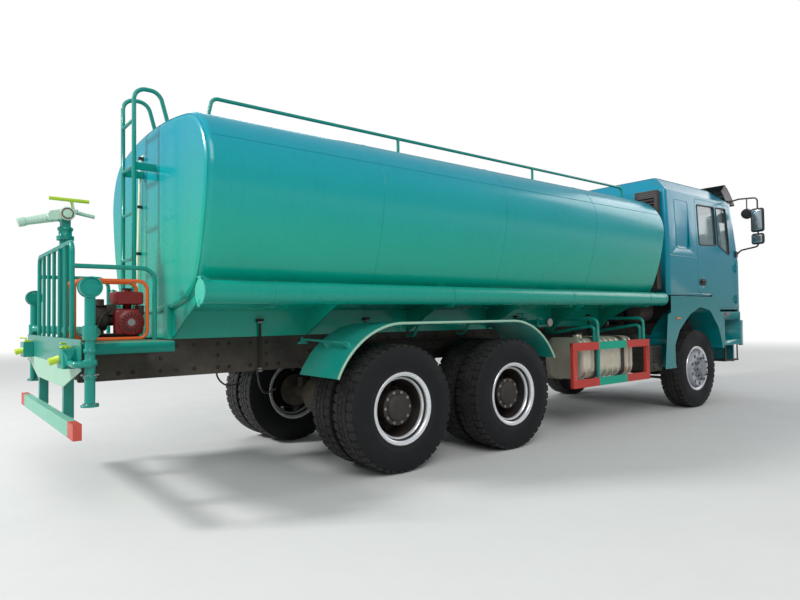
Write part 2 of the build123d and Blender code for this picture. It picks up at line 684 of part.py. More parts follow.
# Hose tubes on brackets along both flanks, with a domed front end and a hinged cap at the rear
cap_thickness = 8.0
cap_radius = hose_tube_radius + 4
cap_gap = 1.0
cap_x = hose_tube_rear_x - cap_gap
cap_hinge_z = hose_tube_z + cap_radius + 12
cap_hinge_radius = 8.0
cap_pin_radius = 4.0
crest_z = hose_tube_z + hose_tube_radius
with BuildPart() as hose_tubes:
    for side in (1, -1):
        axis = Axis((0, side * hose_tube_y, hose_tube_z), (1, 0, 0))
        front = hose_tube_front_x - 50
        with BuildSketch(Plane.XZ.offset(-side * hose_tube_y)) as tube_section:
            with BuildLine():
                Polyline((front, crest_z), (hose_tube_rear_x, crest_z), (hose_tube_rear_x, crest_z - hose_tube_wall),
                         (front, crest_z - hose_tube_wall), (front, hose_tube_z), (hose_tube_front_x, hose_tube_z))
                ThreePointArc((hose_tube_front_x, hose_tube_z),
                              (front + 36, hose_tube_z + hose_tube_radius * 0.7), (front, crest_z))
            make_face()
        revolve(profiles=tube_section.sketch, axis=axis)
        # Two ears and a pin carry the cap's hinge
        pin_x = cap_x - cap_thickness / 2
        centre_y = side * hose_tube_y
        add_tube(((pin_x, centre_y - 40, cap_hinge_z), (pin_x, centre_y + 40, cap_hinge_z)), cap_pin_radius, 0)
        for ear_y in (centre_y - 40, centre_y + 31):
            with BuildSketch(Plane.XZ.offset(-ear_y)) as ear:
                Polygon((pin_x - 9, cap_hinge_z - 7), (pin_x - 9, cap_hinge_z + 9), (pin_x + 9, cap_hinge_z + 9),
                        (pin_x + 55, crest_z - 6), (pin_x + 12, crest_z - 10), (pin_x + 5, cap_hinge_z - 7),
                        align=None)
            extrude(to_extrude=ear.sketch, amount=-9)
        for place in hose_bracket_xs:
            with BuildSketch(Plane.YZ.offset(place - hose_bracket_half)) as bracket:
                Polygon(*[(side * y, z) for y, z in hose_bracket_outline], align=None)
                with Locations((side * hose_tube_y, hose_tube_z)):
                    Circle(hose_tube_radius - hose_tube_wall / 2, mode=Mode.SUBTRACT)
            extrude(to_extrude=bracket.sketch, amount=2 * hose_bracket_half)
    add(tank_body, mode=Mode.SUBTRACT)
finish(hose_tubes, "hose_tubes")

for side, hand in ((1, "left"), (-1, "right")):
    with BuildPart() as cap:
        centre_y = side * hose_tube_y
        with BuildSketch(Plane.YZ.offset(cap_x - cap_thickness)) as disc:
            with Locations((centre_y, hose_tube_z)):
                Circle(cap_radius)
            with Locations((centre_y, hose_tube_z + cap_radius)):
                Rectangle(50, 24)
        extrude(to_extrude=disc.sketch, amount=cap_thickness)
        add_tube(((cap_x - cap_thickness / 2, centre_y - 30, cap_hinge_z),
                  (cap_x - cap_thickness / 2, centre_y + 30, cap_hinge_z)), cap_hinge_radius, 0)
        with BuildSketch(Plane.XZ.offset(-centre_y - 32)) as bore:
            with Locations((cap_x - cap_thickness / 2, cap_hinge_z)):
                Circle(cap_pin_radius + seat_gap)
        extrude(to_extrude=bore.sketch, amount=64, mode=Mode.SUBTRACT)
        add_block((cap_x - cap_thickness - 14, centre_y - 8, hose_tube_z - cap_radius - 16),
                  (cap_x - cap_thickness, centre_y + 8, hose_tube_z - cap_radius + 30))
    finish(cap, f"hose_tube_cap_{hand}")

# Rear platform: a chequered deck in a channel frame, with the pentagonal tail plate
deck_thickness = 6.0
fascia_height = 70.0
fascia_wall = 8.0
tail_plate_wall = 6.0
tail_top = 1200.0
tail_knee = 1010.0
tail_bottom = 865.0
tail_half_width = 1090.0
tail_bottom_half = 530.0
bearer_xs = (-4430.0, -4250.0, -4070.0)
with BuildPart() as rear_platform:
    add_block((platform_rear_x, -platform_half_width, deck_top - deck_thickness),
              (platform_front_x, platform_half_width, deck_top))
    for side in (1, -1):
        edge = side * platform_half_width
        add_plate(Plane.XZ.offset(-edge), ((platform_rear_x, deck_top), (platform_front_x, deck_top),
                                           (platform_front_x, deck_top - fascia_height),
                                           (platform_rear_x, deck_top - fascia_height)), side * fascia_wall)
    for low_x in (platform_rear_x, platform_front_x - fascia_wall):
        for low_y, high_y in ((-platform_half_width, -rail_outer_y - 6), (rail_outer_y + 6, platform_half_width)):
            add_block((low_x, low_y, deck_top - fascia_height), (low_x + fascia_wall, high_y, deck_top))
    for place in bearer_xs:
        for side in (1, -1):
            low_y, high_y = sorted((side * (rail_outer_y + seat_gap), side * (platform_half_width - 2)))
            add_block((place - 20, low_y, deck_top - 50), (place + 20, high_y, deck_top - 2))
    add_plate(Plane.YZ.offset(platform_rear_x), (
        (-tail_half_width, tail_top), (tail_half_width, tail_top), (tail_half_width, tail_knee),
        (tail_bottom_half, tail_bottom), (-tail_bottom_half, tail_bottom), (-tail_half_width, tail_knee)),
        -tail_plate_wall)
finish(rear_platform, "rear_platform")

# Railing round the platform: a barred guard at the rear and a rail along each side
railing_x = -4530.0
railing_half_width = 665.0
railing_top = 1855.0
side_rail_z = 1690.0
side_rail_front_x = -3992.0
railing_radius = 16.0
railing_bar_count = 5
with BuildPart() as rear_railing:
    add_tube(((railing_x, -railing_half_width, deck_top), (railing_x, -railing_half_width, railing_top),
              (railing_x, railing_half_width, railing_top), (railing_x, railing_half_width, deck_top)),
             railing_radius, 70)
    pitch = 2 * railing_half_width / (railing_bar_count + 1)
    for row in range(railing_bar_count):
        bar_y = (row + 1) * pitch - railing_half_width
        add_tube(((railing_x, bar_y, deck_top), (railing_x, bar_y, railing_top)), railing_radius - 3, 0)
    for side in (1, -1):
        rail_y = side * railing_half_width
        add_tube(((railing_x, rail_y, side_rail_z), (side_rail_front_x, rail_y, side_rail_z),
                  (side_rail_front_x, rail_y, deck_top)), railing_radius, 90)
finish(rear_railing, "rear_railing")

# Underrun bar on two posts
bar_half_width = 1100.0
bar_rear_x = platform_rear_x - 50
bar_bottom = 585.0
bar_height = 100.0
bar_wall = 5.0
post_half = 25.0
post_depth = 56.0
post_ys = (-500.0, 500.0)
with BuildPart() as underrun_bar:
    bar_depth = platform_rear_x - bar_rear_x
    with BuildSketch(Plane.XZ.offset(-bar_half_width)) as bar_section:
        with Locations((bar_rear_x + bar_depth / 2, bar_bottom + bar_height / 2)):
            Rectangle(bar_depth, bar_height)
    extrude(to_extrude=bar_section.sketch, amount=2 * bar_half_width)
    for post_y in post_ys:
        post_front_x = platform_rear_x + fascia_wall + seat_gap + post_depth
        add_plate(Plane.XZ.offset(-post_y + post_half), (
            (platform_rear_x, bar_bottom), (platform_rear_x, tail_bottom - seat_gap),
            (platform_rear_x + fascia_wall + seat_gap, tail_bottom - seat_gap),
            (platform_rear_x + fascia_wall + seat_gap, deck_top - deck_thickness - seat_gap),
            (post_front_x, deck_top - deck_thickness - seat_gap), (post_front_x, bar_bottom + 60),
            (post_front_x - 40, bar_bottom)), -2 * post_half)
finish(underrun_bar, "underrun_bar")

# Water pipes: deck manifold, spray pipes, nozzles and the cannon's column
line_radius = 38.0
cannon_x = -4455.0
column_radius = 40.0
column_top = 1950.0
column_flange_radius = 60.0
flange_thickness = 16.0
manifold_z = 1242.0
spray_y = 1095.0
spray_x = -4510.0
spray_radius = 31.0
spray_bottom = 785.0
spray_head_z = 1525.0
spray_head_radius = 62.0
nozzle_block_y = 850.0
nozzle_block_half = 95.0
nozzle_block_depth = 72.0
nozzle_block_top = 1140.0
nozzle_block_bottom = 1015.0
with BuildPart() as water_pipes:
    # The deck manifold feeds the two spray pipes and the cannon's column
    bend_y = spray_y - 120
    add_tube(((spray_x, -spray_y, manifold_z), (cannon_x, -bend_y, manifold_z), (cannon_x, bend_y, manifold_z),
              (spray_x, spray_y, manifold_z)), line_radius - 4, 50)
    add_tube(((cannon_x, 0, deck_top), (cannon_x, 0, column_top)), column_radius, 0)
    for flange_z in (deck_top, column_top - flange_thickness):
        with BuildSketch(Plane.XY.offset(flange_z)) as flange:
            with Locations((cannon_x, 0)):
                Circle(column_flange_radius)
        extrude(to_extrude=flange.sketch, amount=flange_thickness)
    for side in (1, -1):
        pipe_y = side * spray_y
        add_tube(((spray_x, pipe_y, spray_bottom), (spray_x, pipe_y, spray_head_z)), spray_radius, 0)
        for collar_z, collar_height, collar_radius in ((spray_bottom, 16, 52), (960, 22, 38), (1040, 34, 42),
                                                       (1120, 22, 38), (manifold_z - 45, 90, 42)):
            with BuildSketch(Plane.XY.offset(collar_z)) as collar:
                with Locations((spray_x, pipe_y)):
                    Circle(collar_radius)
            extrude(to_extrude=collar.sketch, amount=collar_height)
        add_tube(((spray_x, pipe_y - side * 35, spray_head_z), (spray_x, pipe_y + side * 35, spray_head_z)),
                 spray_head_radius, 0)
        # A nozzle block on the tail plate's face, with its fan nozzle and feed
        plate_face = platform_rear_x - tail_plate_wall - seat_gap
        block_rear = plate_face - nozzle_block_depth
        add_block((block_rear, side * nozzle_block_y - nozzle_block_half, nozzle_block_bottom),
                  (plate_face, side * nozzle_block_y + nozzle_block_half, nozzle_block_top))
        add_tube(((block_rear + 20, side * (nozzle_block_y - 45), nozzle_block_top - 60),
                  (block_rear - 55, side * (nozzle_block_y - 45), nozzle_block_top - 85)), 24, 0)
        add_tube(((plate_face - 36, side * (nozzle_block_y + nozzle_block_half - 10), 1050),
                  (plate_face - 36, side * (spray_y + 38), 1050), (spray_x, side * (spray_y + 38), 1050)), 20, 25)
finish(water_pipes, "water_pipes")

# Water cannon: a turret that swings on the column's flange, and a barrel that nods on the turret
turret_neck_radius = 46.0
pivot_z = 2130.0
elbow_radius = 48.0
elbow_half = 65.0
barrel_drop = 0.27
mouth_radius = 34.0
barrel_reach = front_x + cannon_x - mouth_radius * barrel_drop / hypot(1, barrel_drop)
with BuildPart() as cannon_turret:
    for start_z, radius, height in ((column_top + seat_gap, column_flange_radius, flange_thickness),
                                    (column_top + flange_thickness, turret_neck_radius, 70),
                                    (column_top + 60, turret_neck_radius + 8, 20)):
        with BuildSketch(Plane.XY.offset(start_z)) as ring:
            with Locations((cannon_x, 0)):
                Circle(radius)
        extrude(to_extrude=ring.sketch, amount=height)
    add_tube(((cannon_x, -elbow_half, pivot_z), (cannon_x, elbow_half, pivot_z)), elbow_radius, 0)
    add_block((cannon_x - 30, -elbow_half + 20, column_top + 60), (cannon_x + 30, elbow_half - 20, pivot_z))
finish(cannon_turret, "cannon_turret")

with BuildPart() as cannon_barrel:
    # Two cheeks carry the barrel on the elbow's ends; a tee bar above it steers by hand
    for side in (1, -1):
        cheek_y = side * (elbow_half + seat_gap)
        with BuildSketch(Plane.XZ.offset(-cheek_y)) as cheek:
            with Locations((cannon_x, pivot_z)):
                Circle(elbow_radius - 6)
            Polygon((cannon_x, pivot_z + 42), (cannon_x - 118, pivot_z + 12), (cannon_x - 128, pivot_z - 60),
                    (cannon_x - 30, pivot_z - 42), align=None)
            Polygon((cannon_x - 10, pivot_z + 20), (cannon_x + 70, pivot_z + 40), (cannon_x + 70, pivot_z + 14),
                    (cannon_x + 10, pivot_z - 30), align=None)
        extrude(to_extrude=cheek.sketch, amount=-side * 12)
    nozzle_start = Vector(cannon_x - 92, 0, pivot_z - 92 * barrel_drop)
    nozzle_end = Vector(cannon_x - barrel_reach, 0, pivot_z - barrel_reach * barrel_drop)
    nozzle_axis = (nozzle_end - nozzle_start).normalized()
    with BuildSketch(Plane(origin=nozzle_start, z_dir=nozzle_axis)) as root:
        Circle(36)
    with BuildSketch(Plane(origin=nozzle_end, z_dir=nozzle_axis)) as tip:
        Circle(27)
    loft(sections=[root.sketch, tip.sketch])
    with BuildSketch(Plane(origin=nozzle_end, z_dir=nozzle_axis)) as mouth:
        Circle(mouth_radius)
        Circle(20, mode=Mode.SUBTRACT)
    extrude(to_extrude=mouth.sketch, amount=-46)
    add_block((cannon_x - 126, -elbow_half - 12, pivot_z - 44), (cannon_x - 96, elbow_half + 12, pivot_z - 6))
    add_tube(((cannon_x + 64, -elbow_half - 12, pivot_z + 27),
              (cannon_x + 64, elbow_half + 12, pivot_z + 27)), 12, 0)
    add_tube(((cannon_x + 64, 0, pivot_z + 27), (cannon_x + 205, 0, pivot_z + 2)), 15, 0)
    add_tube(((cannon_x + 60, 0, pivot_z + 27), (cannon_x + 40, 0, pivot_z + 120)), 11, 0)
    add_tube(((cannon_x - 110, 0, pivot_z + 122), (cannon_x + 165, 0, pivot_z + 118)), 14, 0)
finish(cannon_barrel, "cannon_barrel")

# Motor pump: a tube frame round an engine and a volute pump
pump_inner_y = -330.0
pump_outer_y = -600.0
cage_rear_x = -4505.0
cage_front_x = -4025.0
cage_top = 1600.0
cage_radius = 13.0
volute_z = 1330.0
spigot_radius = 34.0
spigot_top = 1470.0
spigot_length = 42.0
with BuildPart() as motor_pump:
    cage_low = deck_top + cage_radius + seat_gap
    for hoop_y in (pump_inner_y, pump_outer_y):
        with BuildLine() as hoop_path:
            FilletPolyline((cage_rear_x, hoop_y, cage_low), (cage_rear_x, hoop_y, cage_top),
                           (cage_front_x, hoop_y, cage_top), (cage_front_x, hoop_y, cage_low),
                           radius=60, close=True)
        hoop = hoop_path.wires()[0]
        with BuildSketch(Plane(origin=hoop @ 0, z_dir=hoop % 0)) as hoop_section:
            Circle(cage_radius)
        sweep(sections=hoop_section.sketch, path=hoop)
    for bar_x, bar_z in ((cage_rear_x + 70, cage_low), (cage_front_x - 70, cage_low),
                         (cage_rear_x + 70, cage_top), (cage_front_x - 70, cage_top)):
        add_tube(((bar_x, pump_inner_y, bar_z), (bar_x, pump_outer_y, bar_z)), cage_radius - 1, 0)
    add_block((cage_rear_x + 115, pump_outer_y + 40, deck_top + 14), (cage_front_x - 45, pump_inner_y - 40, 1222))
    add_block((-4210, -520, 1222), (-4050, -400, 1400))
    for row in range(6):
        add_block((-4205, -540, 1300 + row * 17), (-4085, -380, 1307 + row * 17))
    add_tube(((-4130, -572, 1300), (-4130, -520, 1300)), 92, 0)
    add_block((-4215, -555, 1436), (-4040, -385, 1518))
    add_tube(((-4130, -470, 1400), (-4130, -470, 1440)), 30, 0)
    add_tube(((-4130, -470, 1518), (-4130, -470, 1540)), 34, 0)
    add_tube(((-4362, -465, volute_z), (-4280, -465, volute_z)), 88, 0)
    add_tube(((-4290, -465, volute_z), (-4200, -465, volute_z)), 52, 0)
    add_tube(((-4320, -465, volute_z), (-4320, -465, spigot_top)), spigot_radius, 0)
    add_upright((-4320, -465), spigot_top - spigot_length - 8, spigot_radius + 16, 8)
    add_block((-4345, -500, 1222), (-4295, -430, volute_z))
finish(motor_pump, "motor_pump")

# Cab: plans at four heights, joined by lofts
cab_front_corner = 180.0
cab_rear_corner = 55.0
cab_crown = 3180.0
cab_front_bottom = 1300.0
cab_side_bottom = 1365.0
cab_step_x = 3695.0
cab_levels = (
    # height, rear edge, front edge, half width
    (cab_front_bottom, cab_rear_x, cab_front_x, cab_half_width),
    (cab_waist, cab_rear_x, cab_front_x, cab_half_width),
    (cab_gutter, 2445.0, 4545.0, 1150.0),
    (cab_crown, 2585.0, 4275.0, 950.0),
)
firewall_x = 4480.0
firewall_wall = 40.0
panel_gap = 5.0
glass_gap = 0.3


def cab_plan(level, inset, lift=0.0):
    """The cab's plan at one level, pulled in all round by an inset."""
    height, rear, front, half_width = level
    with BuildSketch(Plane.XY.offset(height + lift)) as plan:
        with Locations(((rear + front) / 2, 0)):
            Rectangle(front - rear - 2 * inset, 2 * (half_width - inset))
        fillet(plan.vertices().sort_by(Axis.X)[:2], cab_rear_corner - inset)
        fillet(plan.vertices().sort_by(Axis.X)[-2:], cab_front_corner - inset)
    return plan.sketch


def cab_solid(inset):
    """The cab from its lower edge to the gutter, filled, pulled in by an inset."""
    with BuildPart() as solid:
        extrude(to_extrude=cab_plan(cab_levels[0], inset), amount=cab_waist - cab_front_bottom)
        loft(sections=[cab_plan(cab_levels[1], inset), cab_plan(cab_levels[2], inset)])
    return solid.part


def roof_solid(inset, drop):
    """The high roof above the gutter, filled, pulled in by an inset and lowered by a drop."""
    with BuildPart() as solid:
        loft(sections=[cab_plan(cab_levels[2], inset, seat_gap), cab_plan(cab_levels[3], inset, -drop)])
    return solid.part


def side_outline(points, radius, shrink, y=0.0):
    """A rounded outline seen from the side, in an XZ plane, pulled in by an amount."""
    with BuildSketch(Plane.XZ.offset(-y)) as outline:
        Polygon(*points, align=None)
        fillet(outline.vertices(), radius)
        if shrink:
            offset(amount=-shrink, mode=Mode.REPLACE)
    return outline.sketch


def front_outline(points, radius, shrink, x):
    """A rounded outline seen from the front, in a YZ plane, pulled in by an amount."""
    with BuildSketch(Plane.YZ.offset(x)) as outline:
        Polygon(*points, align=None)
        fillet(outline.vertices(), radius)
        if shrink:
            offset(amount=-shrink, mode=Mode.REPLACE)
    return outline.sketch


door_points = ((3255, 1600), (3640, 1600), (3760, 1400), (4425, 1400), (4425, 2130), (4330, 2935), (3255, 2935))
door_radius = 45.0
door_cut_y = cab_half_width - 2 * cab_wall - 10
door_hinge_x = 4438.0
door_hinge_y = 1206.0
door_hinge_zs = (1520.0, 1990.0)
door_pin_radius = 6.0
door_knuckle_radius = 13.0
door_handle_x = 3385.0
door_handle_z = 1750.0
window_points = (
    ((3320, 2855), (3845, 2870), (3845, 2305), (3320, 2280)),
    ((3905, 2872), (4225, 2880), (4265, 2410), (4258, 2180), (4085, 2245), (3905, 2308)),
)
window_radius = 32.0
windscreen_points = ((-1000, 2150), (1000, 2150), (960, 2900), (-960, 2900))
windscreen_radius = 60.0
flap_half_width = 1008.0
flap_bottom = 1330.0
flap_top = 2078.0
flap_points = ((-flap_half_width, flap_bottom), (flap_half_width, flap_bottom),
               (flap_half_width, flap_top), (-flap_half_width, flap_top))
flap_radius = 30.0
flap_hinge_x = cab_front_x + 9
flap_hinge_z = flap_top + 5
recess_points = ((2675, 2200), (3045, 2200), (3045, 2870), (2675, 2870))
recess_depth = 12.0
reach = cab_half_width + 60

cab_outer = cab_solid(0)
cab_inner = cab_solid(cab_wall)
with BuildPart() as cab_walls:
    add(cab_outer)
    add(cab_inner, mode=Mode.SUBTRACT)
with BuildPart() as cab_panes:
    add(cab_solid(10))
    add(cab_solid(18), mode=Mode.SUBTRACT)

with BuildPart() as cab_body:
    # The left half, mirrored at the end
    add(cab_walls.part)
    add_block((cab_rear_x + 20, 0, cab_floor), (firewall_x + 20, cab_half_width - 20, cab_floor + 40))
    add_block((firewall_x, 0, cab_side_bottom), (firewall_x + firewall_wall, cab_half_width - 20, cab_waist))
    # The floor steps up behind the front wheel, and the sides stop above the step housing
    cut_block((cab_rear_x - 10, -reach, cab_front_bottom - 10), (cab_step_x, reach, cab_floor))
    cut_block((cab_step_x - 10, -reach, cab_front_bottom - 10), (firewall_x + 10, reach, cab_side_bottom))
    cut_block((cab_rear_x - 10, -reach, cab_front_bottom - 10), (cab_front_x + 10, 0, cab_crown))
    extrude(to_extrude=side_outline(door_points, door_radius, -panel_gap, door_cut_y), amount=-reach,
            mode=Mode.SUBTRACT)
    extrude(to_extrude=front_outline(windscreen_points, windscreen_radius, 0, firewall_x - 60), amount=400,
            mode=Mode.SUBTRACT)
    extrude(to_extrude=front_outline(flap_points, flap_radius, -panel_gap, firewall_x + firewall_wall + 10),
            amount=300, mode=Mode.SUBTRACT)
    with BuildSketch(Plane.XZ.offset(recess_depth + 15 - cab_half_width)) as recess:
        Polygon(*recess_points, align=None)
        fillet(recess.vertices(), 45)
    extrude(to_extrude=recess.sketch, amount=-200, mode=Mode.SUBTRACT)
    # Hinge lug under the front of the floor, bored for the tilt pin
    with BuildSketch(Plane.XZ.offset(-tilt_lug_y)) as lug:
        Polygon((firewall_x, cab_floor + 10), (firewall_x, cab_side_bottom + 20), (tilt_x - 36, tilt_z - 26),
                (tilt_x + 36, tilt_z - 26), (tilt_x + 40, tilt_z + 30), (firewall_x + 60, cab_floor + 10),
                align=None)
        with Locations((tilt_x, tilt_z)):
            Circle(44)
            Circle(tilt_pin_radius + seat_gap, mode=Mode.SUBTRACT)
    extrude(to_extrude=lug.sketch, amount=-tilt_lug_wall)
    for hinge_z in door_hinge_zs:
        add_upright((door_hinge_x, door_hinge_y), hinge_z - 58, door_pin_radius, 116)
        for knuckle_z in (hinge_z - 58, hinge_z + 40):
            add_upright((door_hinge_x, door_hinge_y), knuckle_z, door_knuckle_radius, 18)
            add_block((door_hinge_x, cab_half_width - 6, knuckle_z),
                      (door_hinge_x + 36, cab_half_width + 10, knuckle_z + 18))
    mirror(about=Plane.XZ)
finish(cab_body, "cab_body")

roof_wall = 40.0
with BuildPart() as cab_roof:
    add(roof_solid(0, 0))
    add(roof_solid(roof_wall, roof_wall), mode=Mode.SUBTRACT)
finish(cab_roof, "cab_roof")

with BuildPart() as windscreen:
    add(cab_panes.part)
    extrude(to_extrude=front_outline(windscreen_points, windscreen_radius, glass_gap, firewall_x - 60), amount=400,
            mode=Mode.INTERSECT)
finish(windscreen, "windscreen")

with BuildPart() as door_left:
    add(cab_walls.part)
    extrude(to_extrude=side_outline(door_points, door_radius, 0), amount=-reach, mode=Mode.INTERSECT)
    for points in window_points:
        extrude(to_extrude=side_outline(points, window_radius, 0), amount=-reach, mode=Mode.SUBTRACT)
    for hinge_z in door_hinge_zs:
        add_upright((door_hinge_x, door_hinge_y), hinge_z - 35, door_knuckle_radius, 70)
        add_plate(Plane.XY.offset(hinge_z - 35), (
            (door_hinge_x - 60, cab_half_width - 2), (door_hinge_x - 15, cab_half_width - 2),
            (door_hinge_x - 15, cab_half_width + panel_gap), (door_hinge_x, cab_half_width + panel_gap),
            (door_hinge_x, cab_half_width + 12), (door_hinge_x - 60, cab_half_width + 12)), 70)
        cut_upright((door_hinge_x, door_hinge_y), hinge_z - 36, door_pin_radius + seat_gap, 72)
    # A pocket with a pull handle across it
    with BuildSketch(Plane.XZ.offset(16 - cab_half_width)) as pocket:
        with Locations((door_handle_x, door_handle_z)):
            RectangleRounded(190, 84, 30)
    extrude(to_extrude=pocket.sketch, amount=-40, mode=Mode.SUBTRACT)
    add_block((door_handle_x - 96, cab_half_width - 18, door_handle_z + 2),
              (door_handle_x + 96, cab_half_width - 4, door_handle_z + 30))
finish(door_left, "door_left")
with BuildPart() as door_right:
    mirror(door_left.part, about=Plane.XZ)
finish(door_right, "door_right")

with BuildPart() as door_glass_left:
    for points in window_points:
        with BuildPart(mode=Mode.PRIVATE) as pane:
            add(cab_panes.part)
            extrude(to_extrude=side_outline(points, window_radius, glass_gap), amount=-reach, mode=Mode.INTERSECT)
        add(pane.part)
finish(door_glass_left, "door_glass_left")
with BuildPart() as door_glass_right:
    mirror(door_glass_left.part, about=Plane.XZ)
finish(door_glass_right, "door_glass_right")

# Front flap with its grille, hinged along its top edge
grille_half_width = 690.0
grille_bottom = 1500.0
grille_top = 1980.0
slat_count = 5
slat_depth = 46.0
slat_drop = 30.0
slat_wall = 14.0
with BuildPart() as front_flap:
    add(cab_walls.part)
    extrude(to_extrude=front_outline(flap_points, flap_radius, 0, firewall_x + firewall_wall + 10), amount=300,
            mode=Mode.INTERSECT)
    # A proud surround, then the opening through it and the slats across the opening
    surround_points = ((-grille_half_width - 60, grille_bottom - 50), (grille_half_width + 60, grille_bottom - 50),
                       (grille_half_width + 90, grille_top + 45), (-grille_half_width - 90, grille_top + 45))
    extrude(to_extrude=front_outline(surround_points, 60, 0, cab_front_x - 2), amount=12)
    grille_points = ((-grille_half_width, grille_bottom), (grille_half_width, grille_bottom),
                     (grille_half_width + 26, grille_top), (-grille_half_width - 26, grille_top))
    extrude(to_extrude=front_outline(grille_points, 40, 0, cab_front_x - 100), amount=200, mode=Mode.SUBTRACT)
    slat_pitch = (grille_top - grille_bottom) / (slat_count + 1)
    for row in range(slat_count):
        slat_z = grille_bottom + (row + 1) * slat_pitch
        slat_rear = cab_front_x - cab_wall + 2
        with BuildSketch(Plane.XZ.offset(-grille_half_width - 24)) as slat:
            with BuildLine():
                nose = slat_rear + slat_depth
                Polyline((nose, slat_z - slat_drop + slat_wall), (slat_rear, slat_z + slat_wall),
                         (slat_rear, slat_z), (nose, slat_z - slat_drop))
                ThreePointArc((nose, slat_z - slat_drop),
                              (nose + slat_wall / 2, slat_z - slat_drop + slat_wall / 2),
                              (nose, slat_z - slat_drop + slat_wall))
            make_face()
        extrude(to_extrude=slat.sketch, amount=2 * (grille_half_width + 24))
    for upright_y in (-350, 0, 350):
        add_block((cab_front_x - cab_wall, upright_y - 9, grille_bottom - 5),
                  (cab_front_x - cab_wall + 14, upright_y + 9, grille_top + 5))
    for hinge_y in (-720, 720):
        add_tube(((flap_hinge_x, hinge_y - 60, flap_hinge_z), (flap_hinge_x, hinge_y + 60, flap_hinge_z)), 8, 0)
        add_block((cab_front_x - 2, hinge_y - 60, flap_top - 50), (flap_hinge_x + 3, hinge_y + 60, flap_hinge_z))
finish(front_flap, "front_flap")

# Sun visor and the two mirror sets
visor_rear = (4375.0, 3280.0)
visor_front = (4705.0, 2985.0)
visor_half_width = 1100.0
mirror_x = 4575.0
mirror_arm_radius = 12.0
with BuildPart() as visor_and_mirrors:
    with BuildSketch(Plane.XZ.offset(-visor_half_width)) as visor:
        with BuildLine():
            ThreePointArc(visor_rear, (4562, 3150), visor_front)
            Line(visor_front, (visor_front[0] - 8, visor_front[1]))
            ThreePointArc((visor_front[0] - 8, visor_front[1]), (4556, 3145), (visor_rear[0], visor_rear[1] - 9))
            Line((visor_rear[0], visor_rear[1] - 9), visor_rear)
        make_face()
    extrude(to_extrude=visor.sketch, amount=2 * visor_half_width)
    for bracket_y in (-visor_half_width, -360, 350, visor_half_width - 10):
        with BuildSketch(Plane.XZ.offset(-bracket_y)) as bracket:
            Polygon((4372, 3274), (4557, 3146), (4698, 2992), (4440, 2992), (4250, 3170), (4290, 3200), align=None)
        extrude(to_extrude=bracket.sketch, amount=-10)
    for side in (1, -1):
        # Upper arm with its loop over the gutter, lower arm from a bracket on the side
        add_tube(((4470, side * 1120, 3020), (mirror_x - 5, side * 1215, 3062), (mirror_x - 5, side * 1480, 3045),
                  (mirror_x - 5, side * 1480, 2860)), mirror_arm_radius, 55)
        add_tube(((mirror_x - 70, side * 1196, 2205), (mirror_x - 5, side * 1230, 2270),
                  (mirror_x - 5, side * 1480, 2310), (mirror_x - 5, side * 1480, 2560)), mirror_arm_radius, 50)
        low_y = min(side * (cab_half_width - 6), side * (cab_half_width + 18))
        add_block((mirror_x - 125, low_y, 2160), (mirror_x - 65, low_y + 24, 2250))
        add_block((4440, min(side * 1100, side * 1140), 2995), (4500, max(side * 1100, side * 1140), 3040))
        for low_z, high_z, half in ((2525, 2885, 95), (2338, 2505, 92)):
            with BuildSketch(Plane.YZ.offset(mirror_x - 50)) as back:
                with Locations((side * 1480, (low_z + high_z) / 2)):
                    RectangleRounded(2 * half - 50, high_z - low_z - 50, 20)
            with BuildSketch(Plane.YZ.offset(mirror_x - 15)) as middle:
                with Locations((side * 1480, (low_z + high_z) / 2)):
                    RectangleRounded(2 * half, high_z - low_z, 38)
            with BuildSketch(Plane.YZ.offset(mirror_x + 30)) as face:
                with Locations((side * 1480, (low_z + high_z) / 2)):
                    RectangleRounded(2 * half - 30, high_z - low_z - 30, 30)
            loft(sections=[back.sketch, middle.sketch, face.sketch], ruled=True)
        add_tube(((mirror_x + 10, side * 1330, 2830), (mirror_x - 25, side * 1330, 2810)), 78, 0)
        add_tube(((mirror_x - 5, side * 1330, 2810), (mirror_x - 5, side * 1330, 3040)), mirror_arm_radius - 3, 0)
    for solid in (cab_outer, roof_solid(0, 0)):
        add(solid, mode=Mode.SUBTRACT)
finish(visor_and_mirrors, "visor_and_mirrors")

